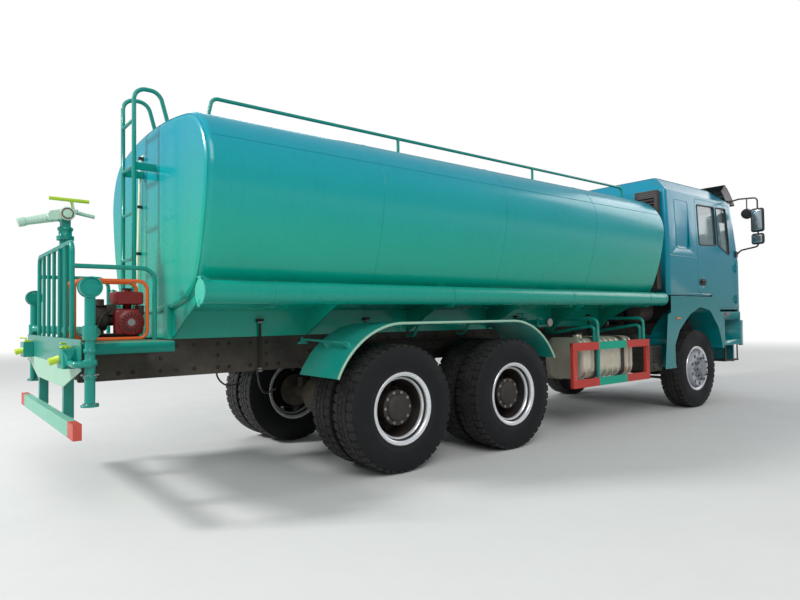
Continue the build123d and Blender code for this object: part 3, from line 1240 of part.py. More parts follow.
# Cab interior: two seats, a bunk, the dashboard and the steering wheel
floor_top = cab_floor + 40 + seat_gap
with BuildPart() as cab_interior:
    for seat_y in (560, -560):
        add_block((3290, seat_y - 190, floor_top), (3710, seat_y + 190, floor_top + 230))
        with BuildSketch(Plane.XZ.offset(250 - seat_y)) as cushion:
            with BuildLine():
                Polyline((3250, floor_top + 230), (3750, floor_top + 230), (3780, floor_top + 300))
                ThreePointArc((3780, floor_top + 300), (3750, floor_top + 385), (3670, floor_top + 390))
                Polyline((3670, floor_top + 390), (3330, floor_top + 370), (3245, floor_top + 980))
                ThreePointArc((3245, floor_top + 980), (3200, floor_top + 1030), (3150, floor_top + 985))
                Polyline((3150, floor_top + 985), (3180, floor_top + 300), (3250, floor_top + 230))
            make_face()
        extrude(to_extrude=cushion.sketch, amount=-500)
        add_block((3135, seat_y - 130, floor_top + 960), (3235, seat_y + 130, floor_top + 1190))
    add_block((2500, -1060, floor_top), (3110, 1060, floor_top + 420))
    add_plate(Plane.XZ.offset(-1110), (
        (4180, 1980), (4280, 2120), (firewall_x - seat_gap, 2140), (firewall_x - seat_gap, floor_top),
        (4400, floor_top), (4330, 1780)), 2220)
    add_tube(((4260, 560, 1950), (4030, 560, 2085)), 32, 0)
    with BuildSketch(Plane(origin=(4030, 560, 2085), z_dir=(-0.86, 0, 0.51))) as spokes:
        Circle(70)
        Rectangle(440, 40)
        Rectangle(40, 440)
    extrude(to_extrude=spokes.sketch, amount=18)
    with BuildSketch(Plane(origin=(4020, 780, 2091), x_dir=(-0.86, 0, 0.51), z_dir=(0.51, 0, 0.86))) as rim_bar:
        Circle(16)
    revolve(profiles=rim_bar.sketch, axis=Axis((4020, 560, 2091), (-0.86, 0, 0.51)))
finish(cab_interior, "cab_interior")

# Bumper: a shell bent round the front corners, with an air inlet, lamp pockets and steps
bumper_side_x = 4465.0
bumper_corner = 305.0
bumper_wall = 40.0
bumper_top = 1200.0
bumper_wing_bottom = 820.0
bumper_bottom = 550.0
bumper_low_half = 1010.0
lamp_inner_y = 590.0
lamp_outer_y = 900.0
lamp_low_z = 905.0
lamp_high_z = 1120.0
lamp_depth = 26.0


def bumper_plan(height, inset):
    """The bumper's outer plan, open to the rear, pulled in by an inset."""
    with BuildSketch(Plane.XY.offset(height)) as plan:
        with BuildLine():
            edge_y = body_half_width - inset
            front = front_x - inset
            corner = bumper_corner - inset
            Polyline((bumper_side_x, -edge_y), (front - corner, -edge_y))
            ThreePointArc((front - corner, -edge_y),
                          (front - corner + corner * sqrt(0.5), -edge_y + corner * (1 - sqrt(0.5))),
                          (front, -edge_y + corner))
            Line((front, -edge_y + corner), (front, edge_y - corner))
            ThreePointArc((front, edge_y - corner),
                          (front - corner + corner * sqrt(0.5), edge_y - corner * (1 - sqrt(0.5))),
                          (front - corner, edge_y))
            Polyline((front - corner, edge_y), (bumper_side_x, edge_y), (bumper_side_x, -edge_y))
        make_face()
    return plan.sketch


with BuildPart() as bumper:
    extrude(to_extrude=bumper_plan(bumper_bottom, 0), amount=bumper_top - bumper_bottom)
    extrude(to_extrude=bumper_plan(bumper_bottom, bumper_wall), amount=bumper_top - bumper_bottom,
            mode=Mode.SUBTRACT)
    for side in (1, -1):
        low_y = min(side * bumper_low_half, side * (body_half_width + 10))
        cut_block((bumper_side_x - 10, low_y, bumper_bottom - 10),
                  (front_x + 10, low_y + body_half_width + 10 - bumper_low_half, bumper_wing_bottom))
        lamp_low_y = min(side * lamp_inner_y, side * lamp_outer_y)
        cut_block((front_x - lamp_depth, lamp_low_y, lamp_low_z),
                  (front_x + 10, lamp_low_y + lamp_outer_y - lamp_inner_y, lamp_high_z))
        arm_y = side * (rail_outer_y - rail_flange / 2) - rail_flange / 2
        add_block((frame_front_x + seat_gap, arm_y, rail_bottom),
                  (front_x - bumper_wall + 5, arm_y + rail_flange, rail_top))
    cut_block((front_x - bumper_wall - 20, -430, 650), (front_x + 10, 430, 840))
    for bar_z in (690, 745, 800):
        add_block((front_x - bumper_wall, -440, bar_z - 12), (front_x - bumper_wall + 16, 440, bar_z + 12))
finish(bumper, "bumper")

with BuildPart() as headlamps:
    for side in (1, -1):
        lamp_low_y = min(side * lamp_inner_y, side * lamp_outer_y)
        add_block((front_x - lamp_depth + seat_gap, lamp_low_y + seat_gap, lamp_low_z + seat_gap),
                  (front_x - 4, lamp_low_y + lamp_outer_y - lamp_inner_y - seat_gap, lamp_high_z - seat_gap))
finish(headlamps, "headlamps")

# Mudguards: rolled sheets over the twin wheels, arches with step housings over the front wheels
sheet_wall = 5.0
guard_radius = 720.0
guard_inner_y = 640.0
guard_rear_arc = 66.0
guard_front_arc = 63.0
guard_edge_radius = 12.0
arch_inner_y = 860.0
arch_outer_y = 1241.0
arch_points = ((2475, 500), (2458, 900), (2595, 1100), (2885, 1300), (3175, 1400), (3475, 1356), (3735, 1100),
               (3845, 850), (3893, 500))
arch_radius = 190.0
skin_points = ((2200, 600), (2290, 1300), (2375, 1330), (2375, 1545), (3675, 1545), (3800, 1330), (3897, 1330),
               (3897, 600))
arch_rear_foot = 600.0
arch_front_foot = 805.0
housing_rear_x = 3895.0
housing_front_x = 4455.0
housing_inner_y = 950.0
housing_bottom = 840.0
housing_top = 1330.0
upper_tread = 912.0
upper_recess = 300.0
lower_tread = 622.0
lower_tread_wall = 22.0
strap_half = 15.0
with BuildPart() as mudguards:
    # Front arch and its outer skin, the left side mirrored at the end
    depth = arch_outer_y - arch_inner_y
    extrude(to_extrude=side_outline(arch_points, arch_radius, -sheet_wall, arch_inner_y), amount=-depth)
    extrude(to_extrude=side_outline(skin_points, 8, 0, arch_outer_y - sheet_wall), amount=-sheet_wall)
    extrude(to_extrude=side_outline(arch_points, arch_radius, 0, arch_inner_y - 10), amount=-depth - 20,
            mode=Mode.SUBTRACT)
    for low_x, high_x, foot_z in ((tank_front_x - 200, front_axle_x, arch_rear_foot),
                                  (front_axle_x, housing_rear_x + 5, arch_front_foot)):
        cut_block((low_x, arch_inner_y - 10, 400), (high_x, arch_outer_y + 10, foot_z))
    add_block((housing_rear_x, housing_inner_y, housing_bottom), (housing_front_x, arch_outer_y, housing_top))
    cut_block((housing_rear_x + 30, housing_inner_y + 30, upper_tread),
              (housing_front_x - 30, arch_outer_y + 10, upper_tread + upper_recess))
    cut_block((housing_rear_x + 30, housing_inner_y + 30, upper_tread + upper_recess + 28),
              (housing_front_x - 30, arch_outer_y - 20, housing_top + 10))
    # The lower step hangs below the housing on four straps
    add_block((housing_rear_x + 65, 1020, lower_tread - lower_tread_wall), (housing_front_x - 55, 1225, lower_tread))
    for strap_x in (housing_rear_x + 85, housing_front_x - 75):
        for strap_y in (1030, 1215):
            add_block((strap_x - strap_half, strap_y - 5, lower_tread - lower_tread_wall + 4),
                      (strap_x + strap_half, strap_y + 5, housing_bottom + 5))
    for bracket_x in (3990, 4330):
        add_block((bracket_x - 30, rail_outer_y + seat_gap, 930), (bracket_x + 30, housing_inner_y + 5, 1000))
    add_tube(((2523, rail_outer_y + seat_gap, 1000), (2523, arch_outer_y - 20, 1000)), 18, 0)
    # Twin-wheel guard
    with BuildSketch(Plane.XZ.offset(-guard_inner_y)) as guard:
        for axle_x in (rear_axle_x, middle_axle_x):
            with Locations((axle_x, hub_height)):
                Circle(guard_radius + sheet_wall)
        with Locations((trunnion_x, hub_height)):
            Rectangle(bogie_spacing, guard_radius + sheet_wall, align=(Align.CENTER, Align.MIN))
        for axle_x in (rear_axle_x, middle_axle_x):
            with Locations((axle_x, hub_height)):
                Circle(guard_radius, mode=Mode.SUBTRACT)
        with Locations((trunnion_x, hub_height)):
            Rectangle(bogie_spacing, guard_radius, align=(Align.CENTER, Align.MIN), mode=Mode.SUBTRACT)
        cut = 2 * guard_radius
        rear_turn = radians(guard_rear_arc)
        front_turn = radians(guard_front_arc)
        Polygon((rear_axle_x, hub_height),
                (rear_axle_x - cut * sin(rear_turn), hub_height + cut * cos(rear_turn)),
                (rear_axle_x - cut, hub_height - cut), (middle_axle_x + cut, hub_height - cut),
                (middle_axle_x + cut * sin(front_turn), hub_height + cut * cos(front_turn)),
                (middle_axle_x, hub_height), align=None, mode=Mode.SUBTRACT)
    extrude(to_extrude=guard.sketch, amount=guard_inner_y - body_half_width + guard_edge_radius)
    # The rolled outer edge, turned about each axle and straight between them
    edge_y = body_half_width - guard_edge_radius
    edge_z = hub_height + guard_radius
    for axle_x, arc in ((rear_axle_x, -guard_rear_arc), (middle_axle_x, guard_front_arc)):
        with BuildSketch(Plane.YZ.offset(axle_x)) as roll:
            with Locations((edge_y, edge_z)):
                Circle(guard_edge_radius)
        revolve(profiles=roll.sketch, axis=Axis((axle_x, 0, hub_height), (0, 1, 0)), revolution_arc=arc)
    add_tube(((rear_axle_x, edge_y, edge_z), (middle_axle_x, edge_y, edge_z)), guard_edge_radius, 0)
    for arm_x in (rear_axle_x, trunnion_x, middle_axle_x):
        arm_z = hub_height + guard_radius - 14
        add_tube(((arm_x, rail_outer_y + seat_gap, 1125), (arm_x, 540, 1125), (arm_x, 620, arm_z),
                  (arm_x, edge_y - 40, arm_z)), 15, 40)
    mirror(about=Plane.XZ)
finish(mudguards, "mudguards")

# Side guards: two rails and two end posts a side, each hung on nested bent tubes
guard_rear_x = 300.0
guard_front_x = 1900.0
guard_bottom = 500.0
guard_top = 1000.0
guard_member = 88.0
guard_in_y = 1155.0
guard_out_y = 1195.0
hangers = (
    # place, foot of the outer tube
    (805.0, guard_bottom + 60),
    (1790.0, guard_top - 20),
)
hanger_radius = 19.0
with BuildPart() as side_guards:
    for low_z in (guard_bottom, guard_top - guard_member):
        add_block((guard_rear_x, guard_in_y, low_z), (guard_front_x, guard_out_y, low_z + guard_member))
    for low_x in (guard_rear_x, guard_front_x - 80):
        add_block((low_x, guard_in_y + 2, guard_bottom + 10), (low_x + 80, guard_out_y - 2, guard_top - 10))
    for hanger_x, foot_z in hangers:
        add_tube(((hanger_x, rail_outer_y + seat_gap, 1140), (hanger_x, 540, 1140), (hanger_x, 680, 1262),
                  (hanger_x, 1175, 1262), (hanger_x, 1175, foot_z)), hanger_radius, 70)
        add_tube(((hanger_x, rail_outer_y + seat_gap, 1095), (hanger_x, 560, 1095), (hanger_x, 1128, 1185),
                  (hanger_x, 1128, guard_top - 60)), hanger_radius, 50)
        add_block((hanger_x - 20, 1110, guard_top - 84), (hanger_x + 20, guard_in_y + 2, guard_top - 40))
    mirror(about=Plane.XZ)
finish(side_guards, "side_guards")

# Fuel tank in its straps on the right, battery box and air tanks on the left
fuel_low_x = 640.0
fuel_high_x = 1640.0
fuel_inner_y = -560.0
fuel_outer_y = -1110.0
fuel_bottom = 570.0
fuel_top = 1040.0
fuel_corner = 130.0
strap_xs = (830.0, 1380.0)
strap_width = 60.0
strap_wall = 9.0
with BuildPart() as fuel_tank:
    middle = ((fuel_inner_y + fuel_outer_y) / 2, (fuel_bottom + fuel_top) / 2)
    with BuildSketch(Plane.YZ.offset(fuel_low_x)) as shell:
        with Locations(middle):
            RectangleRounded(fuel_inner_y - fuel_outer_y, fuel_top - fuel_bottom, fuel_corner)
    extrude(to_extrude=shell.sketch, amount=fuel_high_x - fuel_low_x)
    for strap_x in strap_xs:
        with BuildSketch(Plane.YZ.offset(strap_x)) as strap:
            with Locations(middle):
                RectangleRounded(fuel_inner_y - fuel_outer_y + 2 * strap_wall,
                                 fuel_top - fuel_bottom + 2 * strap_wall, fuel_corner + strap_wall)
        extrude(to_extrude=strap.sketch, amount=strap_width)
        strap_end = strap_x + strap_width
        rail_face = -rail_outer_y - seat_gap
        add_block((strap_x, fuel_inner_y - 5, 890), (strap_end, rail_face, 1000))
        add_block((strap_x, fuel_inner_y - 60, fuel_bottom - 40), (strap_end, rail_face - 30, fuel_bottom + 10))
        add_block((strap_x, rail_face - 40, fuel_bottom - 40), (strap_end, rail_face, 1000))
    add_upright((fuel_low_x + 160, -900), fuel_top - 10, 52, 50)
finish(fuel_tank, "fuel_tank")

with BuildPart() as battery_box:
    add_block((640, 560, 600), (1180, 1090, 1010))
    add_block((630, 550, 975), (1190, 1100, 1030))
    for low_x in (700, 1060):
        add_block((low_x, rail_outer_y + seat_gap, 600), (low_x + 60, 565, 680))
        add_block((low_x, rail_outer_y + seat_gap, 600), (low_x + 60, rail_outer_y + seat_gap + 20, 1000))
    for tank_y, tank_z in ((650, 700), (650, 940), (905, 820)):
        with BuildSketch(Plane.XZ.offset(-tank_y)) as air_tank:
            Polygon((1232, tank_z), (1236, tank_z + 60), (1256, tank_z + 98), (1290, tank_z + 115),
                    (1722, tank_z + 115), (1756, tank_z + 98), (1776, tank_z + 60), (1780, tank_z), align=None)
        revolve(profiles=air_tank.sketch, axis=Axis((0, tank_y, tank_z), (1, 0, 0)))
    for low_x in (1340, 1640):
        add_block((low_x, rail_outer_y + seat_gap, 930), (low_x + 50, 920, 955))
        add_block((low_x, 640, 700), (low_x + 50, 665, 950))
        add_block((low_x, 890, 820), (low_x + 50, 915, 950))
finish(battery_box, "battery_box")

# Silencer with its outlet, and the air intake behind the cab
silencer_low = (2030.0, -1130.0, 570.0)
silencer_high = (2355.0, -700.0, 900.0)
with BuildPart() as silencer:
    with BuildSketch(Plane.XY.offset(silencer_low[2])) as can:
        with Locations(((silencer_low[0] + silencer_high[0]) / 2, (silencer_low[1] + silencer_high[1]) / 2)):
            RectangleRounded(silencer_high[0] - silencer_low[0], silencer_high[1] - silencer_low[1], 60)
    extrude(to_extrude=can.sketch, amount=silencer_high[2] - silencer_low[2])
    for band_z in (600, 690, 780, 865):
        with BuildSketch(Plane.XY.offset(band_z)) as band:
            with Locations(((silencer_low[0] + silencer_high[0]) / 2, (silencer_low[1] + silencer_high[1]) / 2)):
                RectangleRounded(silencer_high[0] - silencer_low[0] + 16,
                                 silencer_high[1] - silencer_low[1] + 16, 68)
        extrude(to_extrude=band.sketch, amount=18)
    add_tube(((2190, -900, 890), (2190, -900, 990), (2190, -520, 990)), 58, 90)
    add_tube(((2110, -1060, 640), (2110, -1175, 640)), 45, 0)
    for low_x in (2080, 2260):
        add_block((low_x, -705, 640), (low_x + 50, -rail_outer_y - seat_gap, 690))
        add_block((low_x, -rail_outer_y - seat_gap - 16, 640), (low_x + 50, -rail_outer_y - seat_gap, 960))
finish(silencer, "silencer")

duct_low = (2330.0, -1100.0, 1640.0)
duct_high = (2425.0, -780.0, 2960.0)
with BuildPart() as air_intake:
    duct_middle = ((duct_low[0] + duct_high[0]) / 2, (duct_low[1] + duct_high[1]) / 2)
    with BuildSketch(Plane.XY.offset(duct_low[2])) as duct:
        with Locations(duct_middle):
            RectangleRounded(duct_high[0] - duct_low[0], duct_high[1] - duct_low[1], 22)
    extrude(to_extrude=duct.sketch, amount=duct_high[2] - duct_low[2])
    for row in range(14):
        cut_block((duct_low[0] - 1, duct_low[1] + 40, 2240 + row * 46), (duct_low[0] + 22, duct_high[1] - 40,
                                                                        2264 + row * 46))
    add_tube(((2372, -930, 1650), (2372, -930, 1330), (2250, -930, 1330)), 56, 62)
    add_tube(((2290, -930, 1330), (2000, -930, 1330)), 108, 0)
    add_block((2080, -925, 1215), (2140, -rail_outer_y - seat_gap, 1245))
    add_block((2080, -rail_outer_y - seat_gap - 20, 1000), (2140, -rail_outer_y - seat_gap, 1245))
    add_block((2080, -960, 1200), (2140, -900, 1260))
finish(air_intake, "air_intake")
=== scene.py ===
"""The looks of a three-axle water tanker truck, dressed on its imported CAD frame.

Everything is in metres in the CAD model's own frame: +X runs forward, +Y to the driver's left, +Z up.
"""

import json
import logging
import math
from collections.abc import Iterable
from dataclasses import dataclass, field
from enum import Enum

import bmesh
import bpy
from mathutils import Matrix, Vector

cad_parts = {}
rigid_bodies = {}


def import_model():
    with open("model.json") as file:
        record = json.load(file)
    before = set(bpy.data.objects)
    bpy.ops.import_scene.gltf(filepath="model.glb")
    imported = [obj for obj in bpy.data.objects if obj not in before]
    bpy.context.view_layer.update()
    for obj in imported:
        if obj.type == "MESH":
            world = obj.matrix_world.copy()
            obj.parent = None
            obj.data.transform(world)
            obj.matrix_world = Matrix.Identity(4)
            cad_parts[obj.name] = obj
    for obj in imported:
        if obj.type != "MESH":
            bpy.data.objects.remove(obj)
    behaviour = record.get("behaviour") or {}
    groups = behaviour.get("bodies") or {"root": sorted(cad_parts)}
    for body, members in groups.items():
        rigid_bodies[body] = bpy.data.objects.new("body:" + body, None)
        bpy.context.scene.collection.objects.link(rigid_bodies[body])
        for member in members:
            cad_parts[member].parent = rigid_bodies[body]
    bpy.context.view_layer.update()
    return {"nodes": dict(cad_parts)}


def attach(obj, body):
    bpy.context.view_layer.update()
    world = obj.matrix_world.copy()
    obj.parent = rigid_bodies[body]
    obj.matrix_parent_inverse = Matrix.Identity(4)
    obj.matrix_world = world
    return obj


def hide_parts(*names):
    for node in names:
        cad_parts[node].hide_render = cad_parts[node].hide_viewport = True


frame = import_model()

log = logging.getLogger("tanker")

Point = tuple[float, float, float]
Colour = tuple[float, float, float]
Pair = tuple[float, float]
Spot = tuple[Point, Point]
Ring = list[bmesh.types.BMVert]
Socket = bpy.types.NodeSocket

AHEAD: Point = (1, 0, 0)
LEFT: Point = (0, 1, 0)
RIGHT: Point = (0, -1, 0)
UP: Point = (0, 0, 1)
DOWN: Point = (0, 0, -1)
FULL_TURN = 2 * math.pi
MERGE_DISTANCE = 0.00002
SHADE: Colour = (0.0, 0.0, 0.0)
WHITE: Colour = (1.0, 1.0, 1.0)


# ---------------------------------------------------------------- small mathematics
def linear(*levels: int) -> Colour:
    """Turn an sRGB colour's three levels, from 0 to 255, into the linear colour that shaders read."""
    shares = [level / 255 for level in levels]
    return tuple(s / 12.92 if s <= 0.04045 else ((s + 0.055) / 1.055) ** 2.4 for s in shares)


def shaded(colour: Colour, by: float, lift: float = 0.0) -> Colour:
    """Make a colour lighter or darker, at most white."""
    return tuple(min(1.0, level * by + lift) for level in colour)


def walk(start: float, end: float, steps: int) -> list[float]:
    """Give equally spaced numbers from start to end."""
    return [start + (end - start) * k / steps for k in range(steps + 1)]


def arc(start: float, end: float, steps: int) -> list[Pair]:
    """Give the cosine and sine at each step of an arc, with both its ends."""
    return [(math.cos(a), math.sin(a)) for a in walk(start, end, steps)]


def circle(count: int, start: float = 0.0) -> list[Pair]:
    """Give the cosine and sine at equal steps of a whole turn, the first at a share of a step."""
    return [(math.cos(a), math.sin(a)) for a in (FULL_TURN * (k + start) / count for k in range(count))]


def mirror(point: Point, side: int) -> Point:
    """Give a left-hand point's place on either side of the truck."""
    return point[0], side * point[1], point[2]


def bolt_ring(centre: Point, way: Point, radius: float, count: int, start: float = 0.0) -> list[Spot]:
    """Give places and directions for fasteners in a ring.

    Args:
        centre: The ring's middle.
        way: The direction of its axis and of the fasteners, along Y or Z.
        radius: The ring's radius.
        count: The number of fasteners.
        start: The first one's place, as a share of a step.

    Returns:
        Each fastener's place and direction.
    """
    x, y, z = centre
    if way[1]:
        return [((x + radius * c, y, z + radius * s), way) for c, s in circle(count, start)]
    return [((x + radius * c, y + radius * s, z), way) for c, s in circle(count, start)]


def rounded(points: list[Point], radius: float, steps: int = 6) -> list[Vector]:
    """Round the inner corners of a path of straight runs.

    Args:
        points: The path's corners.
        radius: How far from a corner its round starts, at most half of each run.
        steps: The number of pieces in each round.

    Returns:
        The path with its corners rounded.
    """
    corners = [Vector(p) for p in points]
    path = [corners[0]]
    for before, corner, after in zip(corners, corners[1:], corners[2:]):
        back, onward = before - corner, after - corner
        reach = min(radius, back.length * 0.49, onward.length * 0.49)
        start, end = corner + back.normalized() * reach, corner + onward.normalized() * reach
        path += [start * (1 - t) ** 2 + corner * 2 * t * (1 - t) + end * t ** 2 for t in walk(0, 1, steps)]
    return [*path, corners[-1]]


def closed_round(corners: list[Point], radius: float) -> list[Vector]:
    """Round the corners of a closed outline, and give its points without the first again at the end."""
    middle = (Vector(corners[0]) + Vector(corners[-1])) / 2
    return rounded([middle, *corners, middle], radius)[:-1]


def tangent_arc(start: Vector, heading: Vector, end: Vector, steps: int) -> tuple[list[Vector], Vector]:
    """Follow an arc in a plane that leaves a point in a given direction and ends at another point.

    Args:
        start: Where the arc leaves.
        heading: The unit direction in which it leaves.
        end: Where it ends.
        steps: The number of pieces.

    Returns:
        The points after the start, and the unit direction at the end.
    """
    chord = end - start
    normal = Vector((-heading.y, heading.x))
    radius = chord.length_squared / (2 * chord.dot(normal))
    centre = start + normal * radius
    turn = 2 * math.asin(max(-1.0, min(1.0, chord.length / (2 * radius))))
    points = [centre + Matrix.Rotation(angle, 2) @ (start - centre) for angle in walk(0, turn, steps)[1:]]
    return points, (Matrix.Rotation(turn, 2) @ heading).normalized()


# ---------------------------------------------------------------- node trees and materials
class Tree:
    """A node tree with short calls that add nodes and feed their inputs."""

    def __init__(self, tree: bpy.types.NodeTree) -> None:
        """Hold the tree."""
        self.tree = tree

    def feed(self, target: Socket, value: object) -> None:
        """Link an output to an input, or set the input's own value."""
        if isinstance(value, Socket):
            self.tree.links.new(value, target)
        else:
            target.default_value = (*value, 1) if target.type == "RGBA" else value

    def add(self, kind: str, inputs: dict[str | int, object], out: str | int = 0, **settings: object) -> Socket:
        """Add a node.

        Args:
            kind: The node's type.
            inputs: Outputs or values for its inputs, by their names or numbers.
            out: The output that is wanted.
            settings: The node's own settings.

        Returns:
            The wanted output.
        """
        node = self.tree.nodes.new(kind)
        for key, value in settings.items():
            setattr(node, key, value)
        for key, value in inputs.items():
            self.feed(node.inputs[key], value)
        return node.outputs[out]

    def calc(self, kind: str, first: Socket | float, second: Socket | float = 0.0, clamp: bool = False) -> Socket:
        """Work out a math node of two values."""
        return self.add("ShaderNodeMath", {0: first, 1: second}, operation=kind, use_clamp=clamp)

    def times(self, first: Socket | float, second: Socket | float, clamp: bool = False) -> Socket:
        """Multiply two values."""
        return self.calc("MULTIPLY", first, second, clamp)


class Graph(Tree):
    """One material's node tree, with short calls for the nodes that the finishes share."""

    EDGE_SAMPLES = 4
    EDGE_RANGE = (0.995, 0.86)

    def __init__(self, name: str) -> None:
        """Start a material that holds only its output and a principled shader."""
        self.material = bpy.data.materials.new(name)
        self.material.use_nodes = True
        super().__init__(self.material.node_tree)
        self.shader = self.tree.nodes["Principled BSDF"]
        self.origin = self.add("ShaderNodeTexCoord", {}, "Object")

    def place(self, scale: Point, move: Point = (0, 0, 0)) -> Socket:
        """Read the object coordinates, moved and scaled."""
        return self.add("ShaderNodeMapping", {"Vector": self.origin, "Location": move, "Scale": scale})

    def noise(self, scale: float, detail: float = 4, roughness: float = 0.55, at: Socket | None = None) -> Socket:
        """Give a noise value from 0 to 1."""
        return self.add("ShaderNodeTexNoise", {"Vector": at or self.origin, "Scale": scale, "Detail": detail,
                                               "Roughness": roughness}, "Fac")

    def cells(self, scale: float) -> Socket:
        """Give the distance to the nearest of scattered points."""
        return self.add("ShaderNodeTexVoronoi", {"Vector": self.origin, "Scale": scale}, "Distance")

    def spread(self, value: Socket, low: float, high: float, to_low: float = 0.0, to_high: float = 1.0) -> Socket:
        """Map a value from one range to another, held at both ends."""
        return self.add("ShaderNodeMapRange", {"Value": value, "From Min": low, "From Max": high,
                                               "To Min": to_low, "To Max": to_high})

    def axes(self) -> bpy.types.NodeOutputs:
        """Split the object coordinates into their three parts."""
        return self.add("ShaderNodeSeparateXYZ", {0: self.origin}).node.outputs

    def distance(self, vector: Socket) -> Socket:
        """Give a vector's length."""
        return self.add("ShaderNodeVectorMath", {0: vector}, "Value", operation="LENGTH")

    def blend(self, share: Socket, first: Socket | Colour, second: Socket | Colour) -> Socket:
        """Blend two colours by a share from 0 to 1."""
        return self.add("ShaderNodeMix", {0: share, 6: first, 7: second}, 2, data_type="RGBA")

    def edges(self, radius: float) -> tuple[Socket, Socket]:
        """Give the rounded normal near sharp edges, and how close an edge is, from 0 to 1."""
        bevel = self.add("ShaderNodeBevel", {"Radius": radius}, samples=self.EDGE_SAMPLES)
        flat = self.add("ShaderNodeNewGeometry", {}, "Normal")
        facing = self.add("ShaderNodeVectorMath", {0: bevel, 1: flat}, "Value", operation="DOT_PRODUCT")
        return bevel, self.spread(facing, *self.EDGE_RANGE)

    def relief(self, height: Socket, strength: float, depth: float, normal: Socket | None = None) -> Socket:
        """Give a bumped normal."""
        under = {} if normal is None else {"Normal": normal}
        return self.add("ShaderNodeBump", {"Strength": strength, "Distance": depth, "Height": height, **under})

    def wear(self, inputs: dict[str, object]) -> bpy.types.Material:
        """Feed the shader's inputs by name and give the finished material."""
        for name, value in inputs.items():
            self.feed(self.shader.inputs[name], value)
        return self.material


@dataclass(frozen=True)
class Finish:
    """A surface finish that becomes one material the first time that it is asked for."""

    name: str

    def material(self) -> bpy.types.Material:
        """Give this finish's material, built once."""
        made = bpy.data.materials.get(self.name)
        if made is None:
            graph = Graph(self.name)
            made = graph.wear(self.inputs(graph))
        return made

    def inputs(self, graph: Graph) -> dict[str, object]:
        """Build the nodes and give the shader's inputs by name; each kind of finish has its own way."""
        raise NotImplementedError


@dataclass(frozen=True)
class PaintFinish(Finish):
    """Sprayed paint over sheet metal, with road dust low down, runs, chips and orange peel."""

    colour: Colour
    gloss: float = 0.26
    coat: float = 0.2
    dust: float = 0.45
    dust_top: float = 1.5
    chips: float = 0.35
    under: Colour = linear(70, 60, 52)
    dirt: Colour = linear(150, 138, 120)
    edge: float = 0.004

    def tint(self, graph: Graph) -> Socket | Colour:
        """Give the clean paint's colour; graded and striped paint give theirs here."""
        return self.colour

    def inputs(self, graph: Graph) -> dict[str, object]:
        """Build sprayed paint with its wear."""
        soft_normal, near_edge = graph.edges(self.edge)
        cloudy = graph.noise(1.1, 5, 0.6)
        paint = graph.blend(graph.spread(cloudy, 0.35, 0.7, 0.03, 0.0), self.tint(graph), SHADE)
        streaks = graph.noise(3.0, 5, 0.65, graph.place((7, 7, 0.5)))
        paint = graph.blend(graph.spread(streaks, 0.52, 0.78, 0.0, 0.09), paint, SHADE)
        low = graph.spread(graph.axes()[2], 0.35, self.dust_top, 1.0, 0.12)
        share = graph.times(low, graph.spread(graph.noise(2.4, 7, 0.66), 0.36, 0.72))
        share = graph.times(share, graph.spread(graph.noise(38.0, 4, 0.7), 0.2, 0.75, 0.45, 1.0))
        share = graph.times(share, self.dust, clamp=True)
        paint = graph.blend(share, paint, self.dirt)
        speck = graph.spread(graph.noise(26.0, 6, 0.75), 0.57, 0.63)
        chip = graph.times(graph.times(near_edge, speck), self.chips, clamp=True)
        rough = graph.calc("ADD", graph.spread(cloudy, 0.3, 0.7, self.gloss, self.gloss + 0.09),
                           graph.times(share, 0.55), clamp=True)
        peel = graph.relief(graph.noise(230.0, 2, 0.5), 0.05, 0.0006, soft_normal)
        return {"Base Color": graph.blend(chip, paint, self.under),
                "Roughness": graph.calc("ADD", rough, graph.times(chip, 0.4), clamp=True),
                "Normal": graph.relief(graph.noise(2.2, 2, 0.4), 0.16, 0.006, peel),
                "Coat Weight": self.coat, "Coat Roughness": 0.12, "Specular IOR Level": 0.32}


@dataclass(frozen=True)
class GradedPaintFinish(PaintFinish):
    """Paint whose colour drifts with height, bluer up high as a painted sky reflection."""

    # upper: the painted sky reflection's colour, bluer than the paint's own
    upper: Colour = (0.0, 0.2, 0.25)
    low: float = 1.6
    high: float = 2.8

    def tint(self, graph: Graph) -> Socket:
        """Drift from the lower colour to the upper one, the painted sky reflection."""
        return graph.blend(graph.spread(graph.axes()[2], self.low, self.high), self.colour, self.upper)


@dataclass(frozen=True)
class StripedPaintFinish(PaintFinish):
    """Paint in two colours: a band between two places along one axis, and another on each end."""

    second: Colour = (0.0, 0.3, 0.27)
    axis: int = 0
    low: float = 0.0
    high: float = 1.0
    mirrored: bool = False
    wobble: float = 0.002

    def tint(self, graph: Graph) -> Socket:
        """Give the second colour between the two places."""
        along = graph.axes()[self.axis]
        if self.mirrored:
            along = graph.calc("ABSOLUTE", along)
        edge = graph.calc("ADD", along, graph.spread(graph.noise(60.0, 2), 0.3, 0.7, -self.wobble, self.wobble))
        inside = graph.times(graph.calc("GREATER_THAN", edge, self.low), graph.calc("LESS_THAN", edge, self.high))
        return graph.blend(inside, self.colour, self.second)


